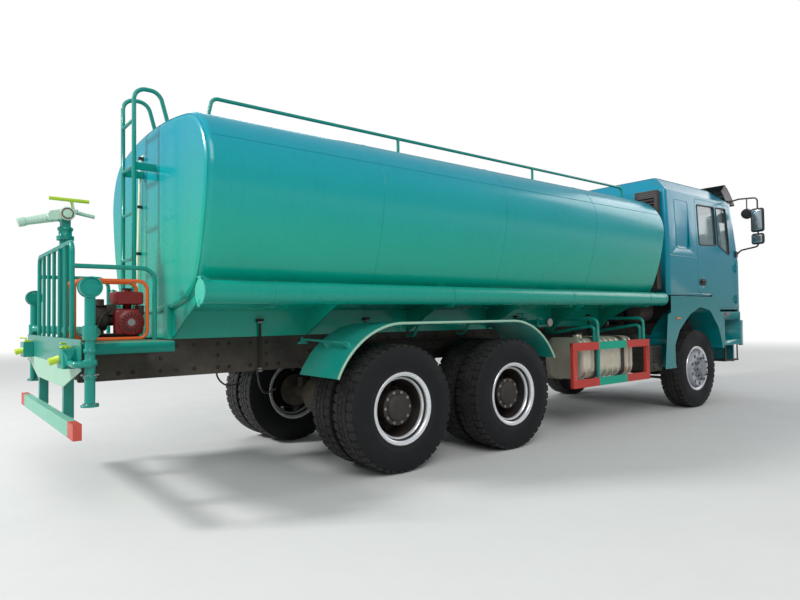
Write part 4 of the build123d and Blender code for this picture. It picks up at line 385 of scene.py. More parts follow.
@dataclass(frozen=True)
class MetalFinish(Finish):
    """Bare or plated metal with brushing, grime and light corrosion."""

    colour: Colour
    rough: float = 0.32
    metallic: float = 1.0
    grime: float = 0.5
    grain: Point = (1, 1, 1)
    grime_colour: Colour = linear(74, 62, 50)

    def inputs(self, graph: Graph) -> dict[str, object]:
        """Build metal with a grain and patches of dirt."""
        soft_normal, near_edge = graph.edges(0.003)
        grain = graph.noise(90.0, 4, 0.7, graph.place(self.grain))
        colour = graph.blend(graph.spread(grain, 0.3, 0.7, 0.0, 0.35), self.colour, shaded(self.colour, 0.74))
        dirt = graph.times(graph.spread(graph.noise(6.0, 6, 0.65), 0.42, 0.75), self.grime, clamp=True)
        colour = graph.blend(dirt, colour, self.grime_colour)
        colour = graph.blend(graph.times(near_edge, 0.35), colour, shaded(self.colour, 1.4))
        rough = graph.calc("ADD", graph.spread(grain, 0.25, 0.75, self.rough, self.rough + 0.14),
                           graph.times(dirt, 0.4), clamp=True)
        return {"Base Color": colour, "Roughness": rough, "Metallic": self.metallic,
                "Normal": graph.relief(grain, 0.14, 0.0008, soft_normal)}


@dataclass(frozen=True)
class RubberFinish(Finish):
    """Tyre rubber about one axle: rings on the sidewall, a scrubbed tread and road dust."""

    axle_x: float
    axle_z: float
    colour: Colour = linear(14, 15, 17)
    dust: Colour = linear(76, 73, 70)

    def inputs(self, graph: Graph) -> dict[str, object]:
        """Build rubber whose rings follow the axle."""
        radius = graph.distance(graph.place((1, 0, 1), (-self.axle_x, 0, -self.axle_z)))
        blotch = graph.noise(5.0, 6, 0.68)
        fine = graph.noise(160.0, 3, 0.7)
        rings = graph.calc("SINE", graph.times(radius, 900.0))
        side = graph.times(graph.spread(radius, 0.30, 0.33), graph.spread(radius, 0.50, 0.46))
        colour = graph.blend(graph.spread(blotch, 0.35, 0.7, 0.05, 0.5), self.colour, shaded(self.colour, 1.6))
        worn = graph.times(graph.spread(radius, 0.520, 0.54), graph.spread(blotch, 0.3, 0.6, 0.1, 0.45))
        colour = graph.blend(worn, colour, self.dust)
        ring_dust = graph.times(graph.spread(radius, 0.37, 0.30, 0.0, 0.2), graph.spread(fine, 0.3, 0.7))
        height = graph.calc("ADD", graph.times(graph.times(rings, side), 0.35), graph.times(fine, 0.5))
        return {"Base Color": graph.blend(ring_dust, colour, self.dust),
                "Roughness": graph.spread(blotch, 0.3, 0.7, 0.52, 0.78),
                "Normal": graph.relief(height, 0.35, 0.0014), "Specular IOR Level": 0.3}


@dataclass(frozen=True)
class PlasticFinish(Finish):
    """Moulded plastic or rubber trim with a fine grain and dust."""

    colour: Colour
    rough: float = 0.45
    grain: float = 320.0
    dust: float = 0.25

    def inputs(self, graph: Graph) -> dict[str, object]:
        """Build grained plastic."""
        soft_normal, near_edge = graph.edges(0.003)
        blotch = graph.noise(4.0, 5, 0.6)
        colour = graph.blend(graph.spread(blotch, 0.35, 0.7, 0.0, 0.4), self.colour, shaded(self.colour, 1.5, 0.01))
        dusty = graph.times(graph.spread(graph.noise(2.2, 7, 0.7), 0.4, 0.75), self.dust)
        colour = graph.blend(dusty, colour, linear(150, 140, 126))
        return {"Base Color": graph.blend(graph.times(near_edge, 0.2), colour, linear(96, 94, 92)),
                "Roughness": graph.spread(blotch, 0.3, 0.7, self.rough, self.rough + 0.15),
                "Normal": graph.relief(graph.cells(self.grain), 0.12, 0.0006, soft_normal)}


@dataclass(frozen=True)
class GlassFinish(Finish):
    """Clear or tinted glass with a little dust and waviness."""

    colour: Colour
    passing: float = 0.9
    rough: float = 0.02

    def inputs(self, graph: Graph) -> dict[str, object]:
        """Build dusty glass."""
        dirt = graph.noise(3.0, 7, 0.7)
        dust = linear(190, 186, 176)
        return {"Base Color": graph.blend(graph.spread(dirt, 0.5, 0.85, 0.0, 0.25), self.colour, dust),
                "Roughness": graph.spread(dirt, 0.4, 0.85, self.rough, self.rough + 0.16),
                "Normal": graph.relief(graph.noise(1.5, 2), 0.03, 0.002),
                "Transmission Weight": self.passing, "IOR": 1.45}


@dataclass(frozen=True)
class LensFinish(Finish):
    """A lamp's ribbed lens in amber or red."""

    colour: Colour
    ribs: float = 260.0

    def inputs(self, graph: Graph) -> dict[str, object]:
        """Build a lens whose prisms catch the light."""
        waves = [graph.calc("SINE", graph.times(part, self.ribs)) for part in graph.axes()]
        prism = graph.calc("ADD", graph.calc("ADD", waves[0], waves[1]), waves[2])
        haze = graph.noise(8.0, 5, 0.6)
        colour = graph.blend(graph.spread(haze, 0.35, 0.75, 0.0, 0.35), self.colour, shaded(self.colour, 0.55))
        return {"Base Color": colour, "Roughness": graph.spread(haze, 0.3, 0.7, 0.08, 0.2),
                "Normal": graph.relief(prism, 0.25, 0.0012), "Transmission Weight": 0.35,
                "Coat Weight": 0.8}


@dataclass(frozen=True)
class PerforatedFinish(Finish):
    """Dark sheet punched with rows of round holes, across one axis and up."""

    colour: Colour
    pitch: float = 0.028
    across: int = 1

    def inputs(self, graph: Graph) -> dict[str, object]:
        """Build sheet whose holes are rougher and sunk, and near-black as painted shade seen through them."""
        parts = graph.axes()
        waves = [graph.calc("COSINE", graph.times(parts[axis], FULL_TURN / self.pitch)) for axis in (self.across, 2)]
        dots = graph.spread(graph.calc("ADD", *waves), 0.35, 0.65)
        dust = graph.noise(5.0, 6, 0.7)
        sheet = graph.blend(graph.spread(dust, 0.35, 0.7, 0.0, 0.6), self.colour, linear(92, 78, 66))
        # The near-black holes are painted shade: the dark behind each hole.
        return {"Base Color": graph.blend(dots, sheet, linear(12, 11, 11)),
                "Roughness": graph.spread(dust, 0.3, 0.7, 0.5, 0.8),
                "Normal": graph.relief(graph.times(dots, -1.0), 0.6, 0.003)}


class Coat(Enum):
    """The truck's own finishes by name."""

    # TANK and CAB turn bluer higher up: a painted sky reflection.
    TANK = GradedPaintFinish("paint_tank_teal", linear(0, 160, 138), gloss=0.2, coat=0.3, dust=0.07, dust_top=1.6,
                             chips=0.15, upper=linear(0, 146, 166), low=1.9, high=2.7)
    TUBE = PaintFinish("paint_tube_teal", linear(0, 146, 128), gloss=0.22, dust=0.1, dust_top=1.7)
    # The caps' paint is the tube's teal made lighter: a painted highlight of sun on the caps.
    CAP = PaintFinish("paint_cap_teal", linear(70, 190, 168), gloss=0.3, dust=0.1, chips=0.7)
    CAB = GradedPaintFinish("paint_cab_teal", linear(0, 124, 132), gloss=0.16, coat=0.4, dust=0.06, dust_top=1.4,
                            chips=0.15, upper=linear(0, 132, 158), low=1.4, high=2.5)
    RAIL = PaintFinish("paint_rail_teal", linear(0, 134, 120), gloss=0.3, dust=0.12, chips=0.5, edge=0.002)
    DECK = PaintFinish("paint_deck_teal", linear(120, 176, 152), gloss=0.42, coat=0.0, dust=0.7, chips=0.8,
                       dirt=linear(186, 178, 150))
    TAIL = StripedPaintFinish("paint_tail_plate", linear(0, 130, 116), gloss=0.3, dust=0.2, chips=0.8,
                              second=linear(146, 196, 168), axis=2, low=0.86, high=1.02)
    GUARD = PaintFinish("paint_guard_teal", linear(20, 158, 144), gloss=0.3, coat=0.2, dust=0.45, chips=0.4)
    GUARD_EDGE = PaintFinish("paint_guard_edge", linear(150, 190, 168), gloss=0.3, dust=0.5, chips=0.9)
    ARCH = PaintFinish("paint_arch_teal", linear(0, 122, 126), gloss=0.2, coat=0.3, dust=0.12, dust_top=1.0)
    PALE = PaintFinish("paint_pale_valve", linear(176, 208, 188), gloss=0.3, dust=0.3, chips=0.7)
    LEVEL = PlasticFinish("level_tube_cream", linear(232, 234, 196), rough=0.4, dust=0.1)
    CHASSIS = PaintFinish("paint_chassis_dark", linear(50, 44, 40), gloss=0.55, coat=0.0, dust=0.45,
                          under=linear(98, 60, 40), chips=0.6)
    AXLE = PaintFinish("paint_axle_brown", linear(46, 40, 36), gloss=0.6, coat=0.0, dust=0.55,
                       under=linear(90, 60, 40), chips=0.7)
    BLACK = PaintFinish("paint_black", linear(26, 27, 28), gloss=0.42, coat=0.05, dust=0.2)
    BOX_GREY = PaintFinish("paint_box_grey", linear(56, 58, 54), gloss=0.45, coat=0.0, dust=0.22, chips=0.6)
    ORANGE = PaintFinish("paint_orange", linear(226, 96, 36), gloss=0.3, coat=0.2, dust=0.12, chips=0.6, edge=0.002)
    ENGINE_RED = PaintFinish("paint_engine_red", linear(118, 24, 26), gloss=0.34, coat=0.1, dust=0.15, chips=0.6)
    YELLOW = PaintFinish("paint_valve_yellow", linear(176, 206, 50), gloss=0.4, coat=0.1, dust=0.2, chips=0.6)
    GUARD_STRIPES = StripedPaintFinish("paint_guard_stripes", linear(186, 60, 52), gloss=0.42, coat=0.0, dust=0.0,
                                       chips=0.4, second=linear(0, 158, 130), axis=0, low=0.80, high=1.38)
    BAR_STRIPES = StripedPaintFinish("paint_bar_stripes", linear(110, 180, 156), gloss=0.4, coat=0.1, dust=0.3,
                                     chips=0.8, second=linear(190, 62, 52), axis=1, low=0.93, high=2.0,
                                     mirrored=True)
    RIM = MetalFinish("silver_rim", linear(196, 200, 206), rough=0.34, metallic=0.45, grime=0.3)
    # The flanges' near-white metal, lighter than the rim's own, is a painted highlight.
    FLANGE = MetalFinish("bright_flange", linear(232, 234, 236), rough=0.22, metallic=0.5, grime=0.1)
    BOSS = MetalFinish("front_boss_grey", linear(150, 154, 160), rough=0.4, metallic=0.4, grime=0.3)
    HUB = MetalFinish("hub_dark", linear(50, 46, 44), rough=0.5, metallic=0.2, grime=0.5)
    STEEL = MetalFinish("zinc_steel", linear(160, 160, 156), rough=0.36, grime=0.5)
    ALUMINIUM = MetalFinish("tank_aluminium", linear(214, 206, 188), rough=0.32, metallic=0.6, grime=0.3,
                            grain=(0.4, 6, 6), grime_colour=linear(164, 150, 124))
    IRON = MetalFinish("dark_iron", linear(52, 48, 45), rough=0.55, metallic=0.6, grime=0.8)
    TRIM = PlasticFinish("black_trim", linear(26, 26, 27), rough=0.5)
    MIRROR_SHELL = PlasticFinish("mirror_shell", linear(20, 20, 21), rough=0.34, dust=0.15)
    INTERIOR = PlasticFinish("cab_plastic", linear(70, 70, 74), rough=0.6)
    HOSE = PlasticFinish("hose_rubber", linear(22, 22, 23), rough=0.5, grain=500)
    GREY = PlasticFinish("grey_plastic", linear(118, 120, 120), rough=0.5)
    GLASS = GlassFinish("window_glass", linear(186, 204, 204), passing=0.92)
    VISOR = GlassFinish("visor_tint", linear(52, 58, 60), passing=0.55, rough=0.06)
    MIRROR = MetalFinish("mirror_silver", linear(214, 222, 226), rough=0.04, grime=0.08)
    LAMP = GlassFinish("headlamp_glass", linear(236, 238, 236), passing=0.85, rough=0.03)
    REFLECTOR = MetalFinish("lamp_reflector", linear(226, 228, 230), rough=0.1, grime=0.05)
    AMBER = LensFinish("lens_amber", linear(236, 128, 20))
    RED_LENS = LensFinish("lens_red", linear(196, 22, 20))
    MESH = PerforatedFinish("punched_sheet", linear(58, 52, 52), across=0)
    GRILLE = PerforatedFinish("grille_mesh", linear(22, 22, 24), pitch=0.016)

    def material(self) -> bpy.types.Material:
        """Give the finish's material."""
        return self.value.material()


# ---------------------------------------------------------------- mesh building
ANYWHERE: Pair = (-9.0, 9.0)


def place_object(name: str, data: bpy.types.ID) -> bpy.types.Object:
    """Put new data in the scene as an object."""
    obj = bpy.data.objects.new(name, data)
    bpy.context.scene.collection.objects.link(obj)
    return obj


@dataclass(frozen=True)
class Zone:
    """A box within a piece whose faces get another finish; a mirrored one counts on both sides."""

    coat: Coat
    x: Pair = ANYWHERE
    y: Pair = ANYWHERE
    z: Pair = ANYWHERE
    mirrored: bool = True

    def holds(self, spot: Vector) -> bool:
        """Tell whether a face's middle lies inside."""
        place = (spot.x, abs(spot.y) if self.mirrored else spot.y, spot.z)
        return all(low <= at <= high for at, (low, high) in zip(place, (self.x, self.y, self.z)))


class Piece:
    """One piece in the making: shapes gather in a mesh that then rides on a body.

    Each call that adds a shape gives the piece back, so that a small piece is one chain of calls.
    """

    def __init__(self, name: str, coat: Coat | Finish, sharp: float = 38.0, body: str = "chassis") -> None:
        """Start an empty piece with its finish, its sharp angle in degrees and the body that it rides on."""
        self.name = name
        self.body = body
        self.coat = coat
        self.sharp = math.radians(sharp)
        self.mesh = bmesh.new()

    def ring(self, points: Iterable[Point | Vector]) -> Ring:
        """Add points to the mesh."""
        return [self.mesh.verts.new(point) for point in points]

    def band(self, rings: list[Ring]) -> "Piece":
        """Join rings by faces, which narrow to triangles where a ring is one point.

        Args:
            rings: Rings of equally many points, in order.

        Returns:
            The piece.
        """
        for upper, lower in zip(rings, rings[1:]):
            for i in range(len(upper)):
                j = (i + 1) % len(upper)
                corners = list(dict.fromkeys((upper[i], upper[j], lower[j], lower[i])))
                if len(corners) > 2:
                    self.mesh.faces.new(corners)
        return self

    def tube(self, points: list[Point | Vector], radius: float, sides: int = 12, closed: bool = False) -> "Piece":
        """Sweep a round section along a path.

        Args:
            points: The path.
            radius: The section's radius.
            sides: The number of sides of the section.
            closed: Whether the path closes on itself.

        Returns:
            The piece.
        """
        path = [Vector(p) for p in points]
        last = len(path) - 1
        side = None
        rings = []
        for i, point in enumerate(path):
            before = path[i - 1] if i > 0 or closed else point
            after = path[(i + 1) % len(path)] if i < last or closed else point
            ahead = (after - before).normalized()
            if side is None:
                side = ahead.orthogonal().normalized()
            side = (side - ahead * side.dot(ahead)).normalized()
            up = ahead.cross(side)
            rings.append(self.ring(point + (side * c + up * s) * radius for c, s in circle(sides)))
        if closed:
            return self.band([*rings, rings[0]])
        self.mesh.faces.new(rings[0][::-1])
        self.mesh.faces.new(rings[-1])
        return self.band(rings)

    def lathe(self, origin: Point, axis: Point, outline: Iterable[Pair], steps: int = 48,
              closed: bool = True) -> "Piece":
        """Turn an outline of (along, out) distances about an axis.

        Args:
            origin: A point on the axis.
            axis: The axis's direction.
            outline: Distances along the axis and out from it.
            steps: The number of steps round.
            closed: Whether the outline's last point joins its first; on the axis it makes no difference.

        Returns:
            The piece.
        """
        along = Vector(axis).normalized()
        side = along.orthogonal().normalized()
        up = along.cross(side)
        rings = []
        for distance, out in outline:
            spot = Vector(origin) + along * distance
            rings.append(self.ring(spot + (side * c + up * s) * out for c, s in circle(steps)) if out
                         else self.ring([spot]) * steps)
        return self.band([*rings, rings[0]] if closed else rings)

    def block(self, corner: Point, opposite: Point, round_by: float = 0.0) -> "Piece":
        """Add a block between two opposite corners.

        Args:
            corner: One corner.
            opposite: The corner across the block.
            round_by: How far its edges are rounded.

        Returns:
            The piece.
        """
        size = Vector([abs(b - a) for a, b in zip(corner, opposite)])
        middle = (Vector(corner) + Vector(opposite)) / 2
        made = bmesh.ops.create_cube(self.mesh, size=1.0)["verts"]
        for vert in made:
            vert.co = vert.co * size
        verts = dict.fromkeys(made)
        if round_by:
            edges = list(dict.fromkeys(edge for vert in made for edge in vert.link_edges))
            bevelled = bmesh.ops.bevel(self.mesh, geom=edges, offset=round_by, segments=2, profile=0.6,
                                       affect="EDGES", clamp_overlap=True)
            verts = dict.fromkeys([vert for face in bevelled["faces"] for vert in face.verts]
                                  + [vert for vert in made if vert.is_valid])
        for vert in verts:
            vert.co += middle
        return self

    def prism(self, outline: Iterable[Point | Vector], along: Point) -> "Piece":
        """Extrude a flat outline.

        Args:
            outline: The outline's corners in order.
            along: The way and distance.

        Returns:
            The piece.
        """
        near = self.ring(outline)
        far = self.ring(vert.co + Vector(along) for vert in near)
        self.mesh.faces.new(near)
        self.mesh.faces.new(far[::-1])
        return self.band([near, far])

    def done(self, *nodes: str) -> bpy.types.Object:
        """Close the piece: merge, turn faces outward, smooth, dress it and let it ride.

        Args:
            nodes: CAD nodes that this piece stands for.

        Returns:
            The finished object.
        """
        bmesh.ops.remove_doubles(self.mesh, verts=self.mesh.verts, dist=MERGE_DISTANCE)
        bmesh.ops.recalc_face_normals(self.mesh, faces=self.mesh.faces)
        return self.dress(self.weigh(), nodes)

    def weigh(self) -> bpy.types.Mesh:
        """Smooth the mesh with its large faces leading, so that flat sheets stay flat.

        Returns:
            A plain mesh with its own normals.
        """
        data = bpy.data.meshes.new(self.name)
        self.mesh.to_mesh(data)
        self.mesh.free()
        data.shade_smooth()
        data.set_sharp_from_angle(angle=self.sharp)
        holder = place_object("weighing", data)
        holder.modifiers.new("weighted", "WEIGHTED_NORMAL").keep_sharp = True
        deps = bpy.context.evaluated_depsgraph_get()
        made = bpy.data.meshes.new_from_object(holder.evaluated_get(deps), preserve_all_data_layers=True,
                                               depsgraph=deps)
        bpy.data.objects.remove(holder)
        made.name = self.name
        return made

    def dress(self, data: bpy.types.Mesh, nodes: tuple[str, ...] = (),
              zones: tuple[Zone, ...] = ()) -> bpy.types.Object:
        """Make the object of a finished mesh and let it ride.

        Args:
            data: The mesh, with its place in it.
            nodes: CAD nodes that this piece stands for.
            zones: Boxes whose faces get another finish, the first box first.

        Returns:
            The finished object.
        """
        if not data.has_custom_normals:
            data.shade_smooth()
            data.set_sharp_from_angle(angle=self.sharp)
        data.materials.clear()
        data.materials.append(self.coat.material())
        for index, zone in enumerate(zones, 1):
            data.materials.append(zone.coat.material())
            for face in data.polygons:
                if face.material_index == 0 and zone.holds(face.center):
                    face.material_index = index
        obj = place_object(self.name, data)
        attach(obj, self.body)
        if nodes:
            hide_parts(*nodes)
        log.info("%s: %d faces on %s", self.name, len(data.polygons), self.body)
        return obj


def skin(node: str, coat: Coat, body: str = "chassis", zones: tuple[Zone, ...] = (),
         sharp: float = 30.0) -> bpy.types.Object:
    """Dress a smooth copy of a CAD node and let it stand for the node.

    Args:
        node: The CAD node.
        coat: Its finish.
        body: The body that it rides on.
        zones: Boxes whose faces get another finish.
        sharp: The angle in degrees past which an edge stays sharp.

    Returns:
        The dressed copy.
    """
    piece = Piece(f"{node}_skin", coat, sharp, body)
    piece.mesh.from_mesh(frame["nodes"][node].data)
    bmesh.ops.remove_doubles(piece.mesh, verts=piece.mesh.verts, dist=MERGE_DISTANCE)
    return piece.dress(piece.weigh(), (node,), zones)


# ---------------------------------------------------------------- geometry-node trees
class NodeRecipe(Tree):
    """A geometry-node tree whose named inputs are set on each use, and whose result becomes a mesh."""

    def __init__(self, name: str) -> None:
        """Start a tree with a geometry input and output."""
        super().__init__(bpy.data.node_groups.new(name, "GeometryNodeTree"))
        for way in ("INPUT", "OUTPUT"):
            self.tree.interface.new_socket("Geometry", in_out=way, socket_type="NodeSocketGeometry")
        self.source = self.tree.nodes.new("NodeGroupInput")
        self.sink = self.tree.nodes.new("NodeGroupOutput")
        self.ids: dict[str, str] = {}

    def size(self, name: str, kind: str = "Float") -> Socket:
        """Add a named input to the tree and give its socket inside."""
        item = self.tree.interface.new_socket(name, in_out="INPUT", socket_type=f"NodeSocket{kind}")
        self.ids[name] = item.identifier
        return self.source.outputs[name]

    def copies(self, points: Socket, instance: Socket, **more: Socket) -> Socket:
        """Put a copy of a mesh on every point."""
        return self.add("GeometryNodeInstanceOnPoints", {"Points": points, "Instance": instance, **more})

    def end(self, instances: Socket) -> None:
        """End the tree in Realize Instances and Set Material."""
        real = self.add("GeometryNodeRealizeInstances", {0: instances})
        finish = self.size("Finish", "Material")
        self.feed(self.sink.inputs[0], self.add("GeometryNodeSetMaterial", {"Geometry": real, "Material": finish}))

    def make(self, seeds: bpy.types.Mesh, values: dict[str, object]) -> bpy.types.Mesh:
        """Run the tree on a mesh.

        Args:
            seeds: The mesh that goes in.
            values: The named inputs' values.

        Returns:
            The plain mesh that comes out.
        """
        holder = place_object("holder", seeds)
        modifier = holder.modifiers.new("recipe", "NODES")
        modifier.node_group = self.tree
        for name, value in values.items():
            modifier[self.ids[name]] = value
        made = bpy.data.meshes.new_from_object(holder.evaluated_get(bpy.context.evaluated_depsgraph_get()))
        holder.modifiers.clear()
        bpy.data.objects.remove(holder)
        return made

    def repeat(self, seed: Piece, **values: object) -> bpy.types.Object:
        """Run the tree on a piece's mesh.

        Args:
            seed: The piece with one copy.
            values: The named inputs' values.

        Returns:
            The finished piece.
        """
        data = bpy.data.meshes.new("seed")
        bmesh.ops.recalc_face_normals(seed.mesh, faces=seed.mesh.faces)
        seed.mesh.to_mesh(data)
        return seed.dress(self.make(data, {**values, "Finish": seed.coat.material()}))


class FastenerRecipe(NodeRecipe):
    """A many-sided head on a washer at every seed point, turned to the point's own direction."""

    WASHER_SIDES = 14
    WASHER_WIDTH = 1.55
    WASHER_HEIGHT = 0.3

    def __init__(self) -> None:
        """Build the tree."""
        super().__init__("fasteners")
        width, height, sides = self.size("Width"), self.size("Height"), self.size("Sides", "Int")
        both = self.tree.nodes.new("GeometryNodeJoinGeometry")
        for count, radius, depth in ((sides, width, height), (self.WASHER_SIDES, self.times(width, self.WASHER_WIDTH),
                                                              self.times(height, self.WASHER_HEIGHT))):
            part = self.add("GeometryNodeMeshCylinder", {"Vertices": count, "Radius": radius, "Depth": depth}, "Mesh")
            self.feed(both.inputs[0], part)
        aim = self.add("GeometryNodeInputNamedAttribute", {"Name": "aim"}, "Attribute", data_type="FLOAT_VECTOR")
        turn = self.add("FunctionNodeAlignRotationToVector", {"Vector": aim}, axis="Z")
        self.end(self.copies(self.source.outputs["Geometry"], both.outputs[0], Rotation=turn))

    def place(self, name: str, spots: list[Spot], width: float, height: float, coat: Coat = Coat.STEEL,
              sides: int = 6, body: str = "chassis") -> bpy.types.Object:
        """Put fasteners on given spots.

        Args:
            name: The piece's name.
            spots: Each fastener's place and direction.
            width: The head's radius.
            height: The head's height.
            coat: The finish.
            sides: The number of sides of a head.
            body: The body that they ride on.

        Returns:
            The finished piece.
        """
        seeds = bpy.data.meshes.new("seeds")
        seeds.from_pydata([spot for spot, _ in spots], [], [])
        aims = seeds.attributes.new("aim", "FLOAT_VECTOR", "POINT")
        for item, (_, way) in zip(aims.data, spots):
            item.vector = Vector(way).normalized()
        values = {"Width": width, "Height": height, "Sides": sides, "Finish": coat.material()}
        return Piece(name, coat, 30, body).dress(self.make(seeds, values))


class RingRecipe(NodeRecipe):
    """Copies of a seed made about the origin, at equal steps round an axis that runs along Y through a centre.

    Start is the first copy's place as a share of a turn.
    """

    def __init__(self) -> None:
        """Build the tree."""
        super().__init__("ring_of_blocks")
        count, centre, start = self.size("Count", "Int"), self.size("Centre", "Vector"), self.size("Start")
        dots = self.add("GeometryNodePoints", {"Count": count})
        share = self.calc("DIVIDE", self.add("GeometryNodeInputIndex", {}), count)
        angle = self.times(self.calc("ADD", share, start), FULL_TURN)
        turn = self.add("ShaderNodeCombineXYZ", {"Y": angle})
        ring = self.copies(dots, self.source.outputs["Geometry"], Rotation=turn)
        self.end(self.add("GeometryNodeTransform", {"Geometry": ring, "Translation": centre}))


class GridRecipe(NodeRecipe):
    """Copies of a seed in a grid, with counts across and along, and the first and second way's steps."""

    def __init__(self) -> None:
        """Build the tree."""
        super().__init__("grid_of_parts")
        across, along = self.size("Across", "Int"), self.size("Along", "Int")
        first, second = self.size("First", "Vector"), self.size("Second", "Vector")
        number = self.add("GeometryNodeInputIndex", {})
        column = self.calc("MODULO", number, across)
        row = self.calc("FLOOR", self.calc("DIVIDE", number, across))
        steps = [self.add("ShaderNodeVectorMath", {0: way, "Scale": share}, operation="SCALE")
                 for share, way in ((column, first), (row, second))]
        place = self.add("ShaderNodeVectorMath", {0: steps[0], 1: steps[1]}, operation="ADD")
        dots = self.add("GeometryNodePoints", {"Count": self.times(across, along), "Position": place})
        self.end(self.copies(dots, self.source.outputs["Geometry"]))


@dataclass
class Recipes:
    """The geometry-node trees that the sub-assemblies share."""

    fasteners: FastenerRecipe = field(default_factory=FastenerRecipe)
    ring: RingRecipe = field(default_factory=RingRecipe)
    grid: GridRecipe = field(default_factory=GridRecipe)


# ---------------------------------------------------------------- wheels
class Hand(Enum):
    """The truck's two sides."""

    LEFT = 1
    RIGHT = -1

    @property
    def word(self) -> str:
        """Give the side's name as nodes spell it."""
        return self.name.lower()


@dataclass(frozen=True)
class Wheel:
    """One wheel or hub: its name, its body, its middle and the side towards which its face looks."""

    name: str
    body: str
    centre: Point
    hand: Hand
    front: bool = False

    @property
    def out(self) -> Point:
        """Give the way outward."""
        return 0, self.hand.value, 0


@dataclass(frozen=True)
class TreadRow:
    """The blocks of one row of the tread; distances count from the tyre's middle and from the axle."""

    count: int
    inner: float
    outer: float
    drop: float
    lean: float
    share: float
    foot: float
    foot_drop: float


@dataclass(frozen=True)
class HubShape:
    """A hub's turned outline, its drum's place, and the radius and place of its nuts and cap screws."""

    outline: tuple[Pair, ...]
    coat: Coat
    drum: float
    nuts: Pair
    nut_start: float
    screws: Pair


@dataclass
class WheelSet:
    """The tyres, rims and hubs of all three axles; outlines are distances outward and from the axle."""

    axle_z: float = 0.542
    tyre_radius: float = 0.542
    front_x: float = 3.250
    twin_axles: tuple = (("middle", -0.725), ("rear", -2.125))
    front_y: float = 1.012
    inner_y: float = 0.765
    outer_y: float = 1.095
    front_disc: float = 0.168
    twin_disc: float = 0.008
    disc_root: float = 0.048
    disc_rise: tuple[Pair, ...] = ((0, 0.2495), (0.45, 0.243), (0.75, 0.235))
    disc_steps: int = 120
    hole_count: int = 10
    hole_circle: float = 0.206
    hole_radius: float = 0.027
    hole_band: Pair = (0.232, 0.181)
    disc_inner: Pair = (0.150, 0.06)
    disc_plate: float = 0.016
    tyre_half: tuple[Pair, ...] = (
        (0.0, 0.536), (0.052, 0.535), (0.053, 0.526), (0.060, 0.526), (0.061, 0.534), (0.108, 0.5315),
        (0.124, 0.527), (0.133, 0.517), (0.138, 0.500), (0.1405, 0.492), (0.1400, 0.486), (0.1465, 0.462),
        (0.1490, 0.430), (0.1470, 0.395), (0.1430, 0.368), (0.1445, 0.362), (0.1400, 0.345), (0.1335, 0.330),
        (0.1350, 0.325), (0.1310, 0.309), (0.1290, 0.297), (0.1200, 0.292))
    tread: tuple[TreadRow, ...] = (TreadRow(54, 0.006, 0.050, 0.0, 0.006, 0.40, 0.524, 0.0),
                                   TreadRow(42, 0.064, 0.134, 0.006, 0.0, 0.36, 0.505, 0.016))
    tread_offset: float = 0.4 / 54
    barrel: tuple[Pair, ...] = (
        (-0.124, 0.298), (-0.124, 0.281), (-0.096, 0.268), (-0.048, 0.250), (0.048, 0.250), (0.096, 0.268),
        (0.118, 0.281), (0.118, 0.292), (0.096, 0.279), (0.048, 0.262), (-0.048, 0.262), (-0.096, 0.279))
    flange: tuple[Pair, ...] = (
        (0.100, 0.274), (0.121, 0.272), (0.127, 0.276), (0.130, 0.284), (0.136, 0.296), (0.136, 0.305),
        (0.131, 0.309), (0.127, 0.305), (0.124, 0.292), (0.102, 0.288))
    lock_ring: tuple[Pair, ...] = (
        (0.060, 0.2455), (0.072, 0.2445), (0.082, 0.249), (0.090, 0.257), (0.088, 0.262), (0.078, 0.260),
        (0.064, 0.252))
    front_hub: HubShape = HubShape(
        ((0.158, 0.0), (0.158, 0.130), (0.180, 0.130), (0.184, 0.124), (0.186, 0.104), (0.208, 0.098),
         (0.224, 0.086), (0.229, 0.070), (0.229, 0.0)), Coat.BOSS, 0.138, (0.150, 0.188), 0.0, (0.080, 0.221))
    twin_hub: HubShape = HubShape(
        ((0.0, 0.0), (0.0, 0.165), (0.022, 0.165), (0.026, 0.140), (0.150, 0.136), (0.186, 0.133), (0.192, 0.126),
         (0.196, 0.150), (0.214, 0.150), (0.218, 0.118), (0.232, 0.112), (0.243, 0.094), (0.249, 0.070),
         (0.249, 0.0)), Coat.HUB, -0.03, (0.168, 0.030), 0.5, (0.132, 0.218))

    def tread_seed(self, piece: Piece, row: TreadRow, side: int) -> Piece:
        """Make one tread block, standing at the top of a wheel at the origin.

        Args:
            piece: The empty piece.
            row: The block's row.
            side: Which half of the tread.

        Returns:
            The piece with its block.
        """
        top = self.tyre_radius - 0.0005
        half = FULL_TURN * top / row.count * row.share
        head, foot = [], []
        for x, outer in ((-half, False), (half, False), (half, True), (-half, True)):
            place = (x + (row.lean if outer else -row.lean), side * (row.outer if outer else row.inner))
            head.append((*place, top - (row.drop if outer else 0.0) - abs(x) * 0.02))
            foot.append((*place, row.foot - (row.foot_drop if outer else 0.0)))
        rings = [piece.ring(head), piece.ring(foot)]
        piece.mesh.faces.new(rings[0])
        return piece.band(rings)

    def tyre(self, recipes: Recipes, wheel: Wheel, nodes: tuple[str, ...]) -> None:
        """Build one tyre with its rows of tread blocks.

        Args:
            recipes: The shared trees.
            wheel: The wheel.
            nodes: CAD nodes that the tyre stands for.
        """
        name = f"tyre_{wheel.name}"
        finish = RubberFinish(f"rubber_{int(wheel.centre[0] * 1000)}", wheel.centre[0], self.axle_z)
        outline = [(-across, out) for across, out in self.tyre_half[:0:-1]] + list(self.tyre_half)
        Piece(name, finish, 50, wheel.body).lathe(wheel.centre, LEFT, outline, 96).done(*nodes)
        for number, row in enumerate(self.tread):
            for side in (1, -1):
                block = Piece(f"{name}_tread{number}{'lr'[side < 0]}", finish, 30, wheel.body)
                recipes.ring.repeat(self.tread_seed(block, row, side), Count=row.count, Centre=wheel.centre,
                                    Start=0.0 if side > 0 else self.tread_offset)

